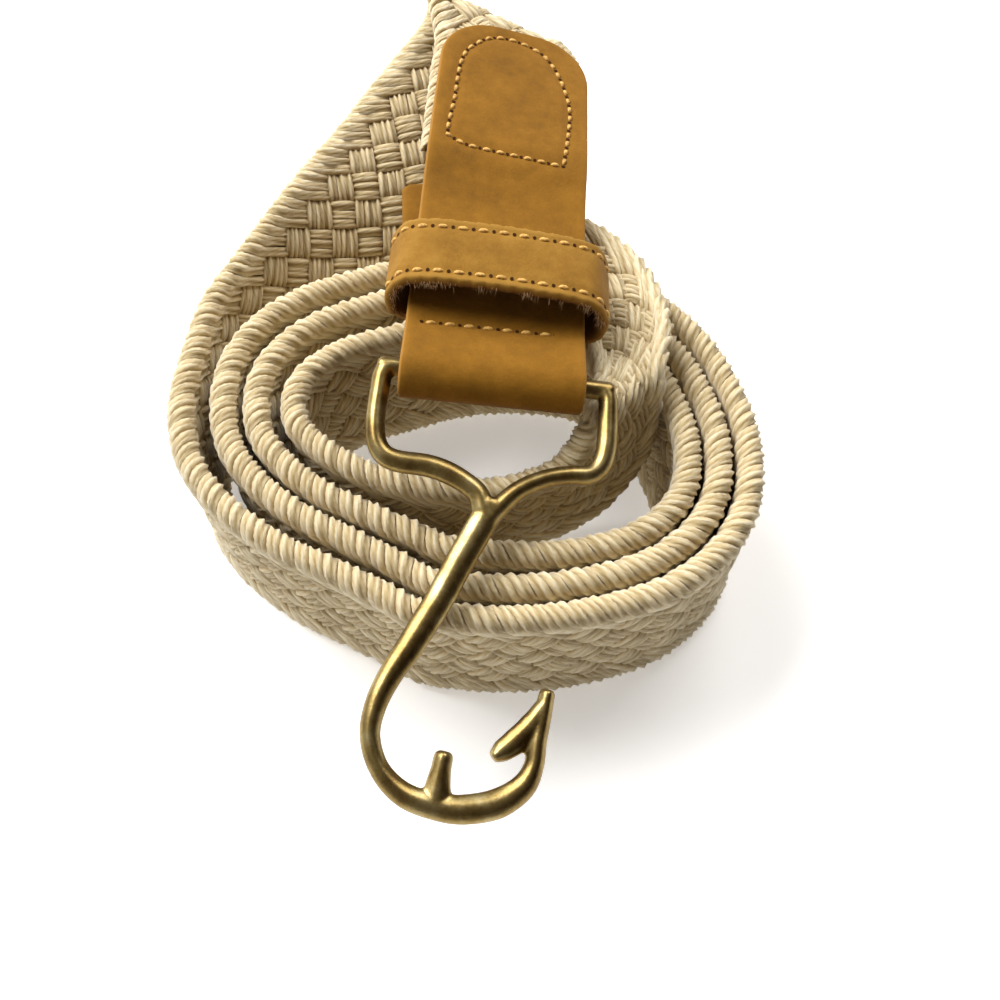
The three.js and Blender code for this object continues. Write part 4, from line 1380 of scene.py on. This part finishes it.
@dataclass
class Buckle:
    """The cast hook buckle: rods joined, melted together and smoothed as the casting is."""

    voxel: float = 0.3
    rounds: int = 5
    sides: int = 20
    round_off: float = 0.88
    slim: float = 0.94

    def rod(self, mesh: Mesh, points: Array, thick: float, per_span: int) -> None:
        """Adds a rod with rounded ends. Its section is an ellipse whose sine and cosine are raised to the
        power round_off, which squares it, with a crown that thins its sides.

        Args:
            mesh: Takes the rod.
            points: (across, down, width) along the rod.
            thick: The rod's thickness.
            per_span: Rings for each pair of points.
        """
        curve = Spline(points * (1, -1, 0), True)
        count = (len(points) - 1) * per_span
        t = np.linspace(0, 1, count + 1)
        centre = curve.at(t)
        tangent = unit(np.gradient(centre, axis=0))
        width = np.interp(t * (len(points) - 1), np.arange(len(points)), points[:, 2]) / 2
        caps, shrink = np.array([0.28, 0.2, 0.1]), np.array([0.55, 0.8, 0.95])
        start = centre[:1] - tangent[:1] * (caps * 2 * width[0])[:, None]
        end = centre[-1:] + tangent[-1:] * (caps[::-1] * 2 * width[-1])[:, None]
        centre = np.concatenate([start, centre, end])
        tangent = np.concatenate([np.repeat(tangent[:1], 3, 0), tangent, np.repeat(tangent[-1:], 3, 0)])
        scale = np.concatenate([shrink, np.ones(count + 1), shrink[::-1]])
        width = np.concatenate([np.full(3, width[0]), width, np.full(3, width[-1])]) * scale
        phi = 2 * np.pi * (np.arange(self.sides) + 0.5) / self.sides
        over, up = (np.sign(v) * np.abs(v) ** self.round_off for v in (np.cos(phi), np.sin(phi)))
        side = np.column_stack([-tangent[:, 1], tangent[:, 0], 0 * width])
        ring = centre[:, None] + side[:, None] * (width[:, None] * over)[..., None]
        ring[..., 2] += (thick / 2 * scale)[:, None] * (1 - S.cast_crown * np.abs(over)) * up
        mesh.add(with_centres(ring), tube_faces(len(centre), self.sides))

    def build(self, material: bpy.types.Material) -> None:
        """Makes the casting: the bar, the frame's sides, the hook, its barb and its stub in one skin.

        Args:
            material: The casting's material.
        """
        mesh = Mesh()
        bar = 2 * S.bar_radius
        self.rod(mesh, np.array([(-S.frame_left, 0, bar), (0, 0, bar), (S.frame_right, 0, bar)]), bar, 10)
        hook = (S.hook_length, S.hook_length, S.bend_width)
        for line, scale, thick in (
                (LEFT_SIDE, (-S.frame_left, S.frame_depth, S.frame_bar), S.cast_thick),
                (RIGHT_SIDE, (S.frame_right, S.frame_depth, S.frame_bar), S.cast_thick),
                (HOOK_LINE, hook, S.cast_thick),
                (BARB_LINE, hook, S.cast_thick * self.slim),
                (STUB_LINE, hook, S.cast_thick * self.slim)):
            self.rod(mesh, np.array(line) * scale, thick, 8)
        obj = mesh.make("brass_hook_buckle", material, placed=False)
        melt(obj, self.voxel, self.rounds)
        count = len(obj.data.vertices)
        points = np.empty(count * 3, np.float32)
        obj.data.vertices.foreach_get("co", points)
        placed = Placement.metres(buckle_point(points.reshape(-1, 3).astype(float)))
        obj.data.vertices.foreach_set("co", placed.astype(np.float32).ravel())
        obj.data.update()
        log.info("brass_hook_buckle: %d points", count)
        settle(obj, "buckle", Slot.BRASS, "hook_buckle")


@dataclass
class Tip:
    """The leather sleeve over the braid's free end: its solid's form with edges worn round."""

    voxel: float = 0.5
    rounds: int = 5

    def build(self, material: bpy.types.Material) -> None:
        """Makes the sleeve.

        Args:
            material: The sleeve's material.
        """
        solid = bpy.data.objects["end_tip"]
        mesh = solid.data.copy()
        mesh.transform(solid.matrix_world)
        mesh.materials.clear()
        mesh.materials.append(material)
        obj = bpy.data.objects.new("end_tip_sleeve", mesh)
        bpy.context.scene.collection.objects.link(obj)
        melt(obj, self.voxel * MM, self.rounds)
        log.info("end_tip_sleeve: %d points", len(obj.data.vertices))
        settle(obj, "strap", Slot.TAN, "end_tip")


@dataclass
class Studio:
    """Camera, floor and light. The camera's height and lens are in millimetres, the floor and the lamps in
    metres and watts, as (name, place, size, power), and dark_side turns the dark side of the surroundings."""

    sensor: float = 36
    focal: float = 965 / 1000 * 36
    height: float = 184
    pitch: float = 60
    floor_size: float = 3.0
    floor_level: float = -0.0002
    floor_glow: float = 0.35
    dark_side: float = 25
    sky: tuple[tuple[float, str], ...] = ((0.1, "#FFFFFF"), (0.5, "#B4AA9C"), (0.9, "#3C2814"))
    sky_strength: float = 0.55
    lamps: tuple[tuple[str, tuple[float, float, float], float, float], ...] = (
        ("key", (-0.55, 0.42, 0.75), 0.7, 16), ("back", (0.4, 0.6, 0.7), 0.6, 6))

    def camera(self) -> None:
        """The camera at the photo's angle, over the belt's frame origin."""
        data = bpy.data.cameras.new("photo_camera")
        data.lens, data.sensor_width = self.focal, self.sensor
        data.clip_start, data.clip_end = 0.01, 10
        obj = bpy.data.objects.new("photo_camera", data)
        obj.location = Placement.metres(np.array([0, 0, self.height]))
        obj.rotation_euler = (math.radians(90 - self.pitch), 0, 0)
        bpy.context.scene.collection.objects.link(obj)
        bpy.context.scene.camera = obj

    def floor(self) -> None:
        """A plain pale floor."""
        size, z = self.floor_size, self.floor_level
        mesh = bpy.data.meshes.new("floor")
        mesh.from_pydata([(-size, -size, z), (size, -size, z), (size, size, z), (-size, size, z)], [],
                         [(0, 1, 2, 3)])
        obj = bpy.data.objects.new("floor", mesh)
        obj.data.materials.append(plain_material("matt_white_floor", "#F7F7F7", 0.9, self.floor_glow))
        bpy.context.scene.collection.objects.link(obj)

    def lights(self) -> None:
        """Soft light from the upper left and back, in surroundings that are bright on the left and brown on
        the right, which the brass mirrors."""
        world = bpy.data.worlds.new("studio")
        bpy.context.scene.world = world
        n = Nodes(world, "Background")
        where = n.add("TexCoord", output="Generated")
        turned = n.add("Mapping", {"Vector": where, "Location": (0.5, 0, 0), "Scale": (0.5, 0.5, 0.5),
                                   "Rotation": (0, 0, math.radians(self.dark_side))})
        sky = n.add("ValToRGB", {"Fac": n.add("SeparateXYZ", {"Vector": turned}, "X")}, stops=self.sky)
        n.shade(Color=sky, Strength=self.sky_strength)
        for name, place, size, power in self.lamps:
            data = bpy.data.lights.new(name, "AREA")
            data.size, data.energy = size, power
            obj = bpy.data.objects.new(name, data)
            obj.location = place
            aim = -np.array(place)
            yaw, tilt = math.atan2(-aim[0], aim[1]), math.acos(-aim[2] / np.linalg.norm(aim))
            obj.rotation_euler = (tilt, 0, yaw)
            bpy.context.scene.collection.objects.link(obj)


def main() -> None:
    """Builds the belt and its setting."""
    logging.basicConfig(level=logging.INFO, format="%(message)s")
    bpy.context.scene.view_settings.view_transform = "Standard"
    studio = Studio()
    studio.camera()
    cotton = CottonFinish().material()
    tan = LeatherFinish("tan_oiled_nubuck", "#66440A", "#845910", "#9C6C1E", "#A87A3C").material()
    light = LeatherFinish("light_oiled_nubuck", "#704B0E", "#936922", "#AC8238", "#4A2A0E").material()
    thread = ThreadFinish().material()
    # The stitch holes' painted shade: flat dark discs instead of recesses.
    dark = plain_material("stitch_hole_shade", "#3A200C", 0.95)
    hide = plain_material("raw_hide_fibre", "#C8A47C", 0.95)
    brass = BrassFinish().material()
    Braid().build(cotton)
    Tab().build(tan, thread, dark)
    Keeper().build(light, thread, dark, hide)
    Buckle().build(brass)
    Tip().build(tan)
    studio.floor()
    studio.lights()


if __name__ == "__main__":
    main()
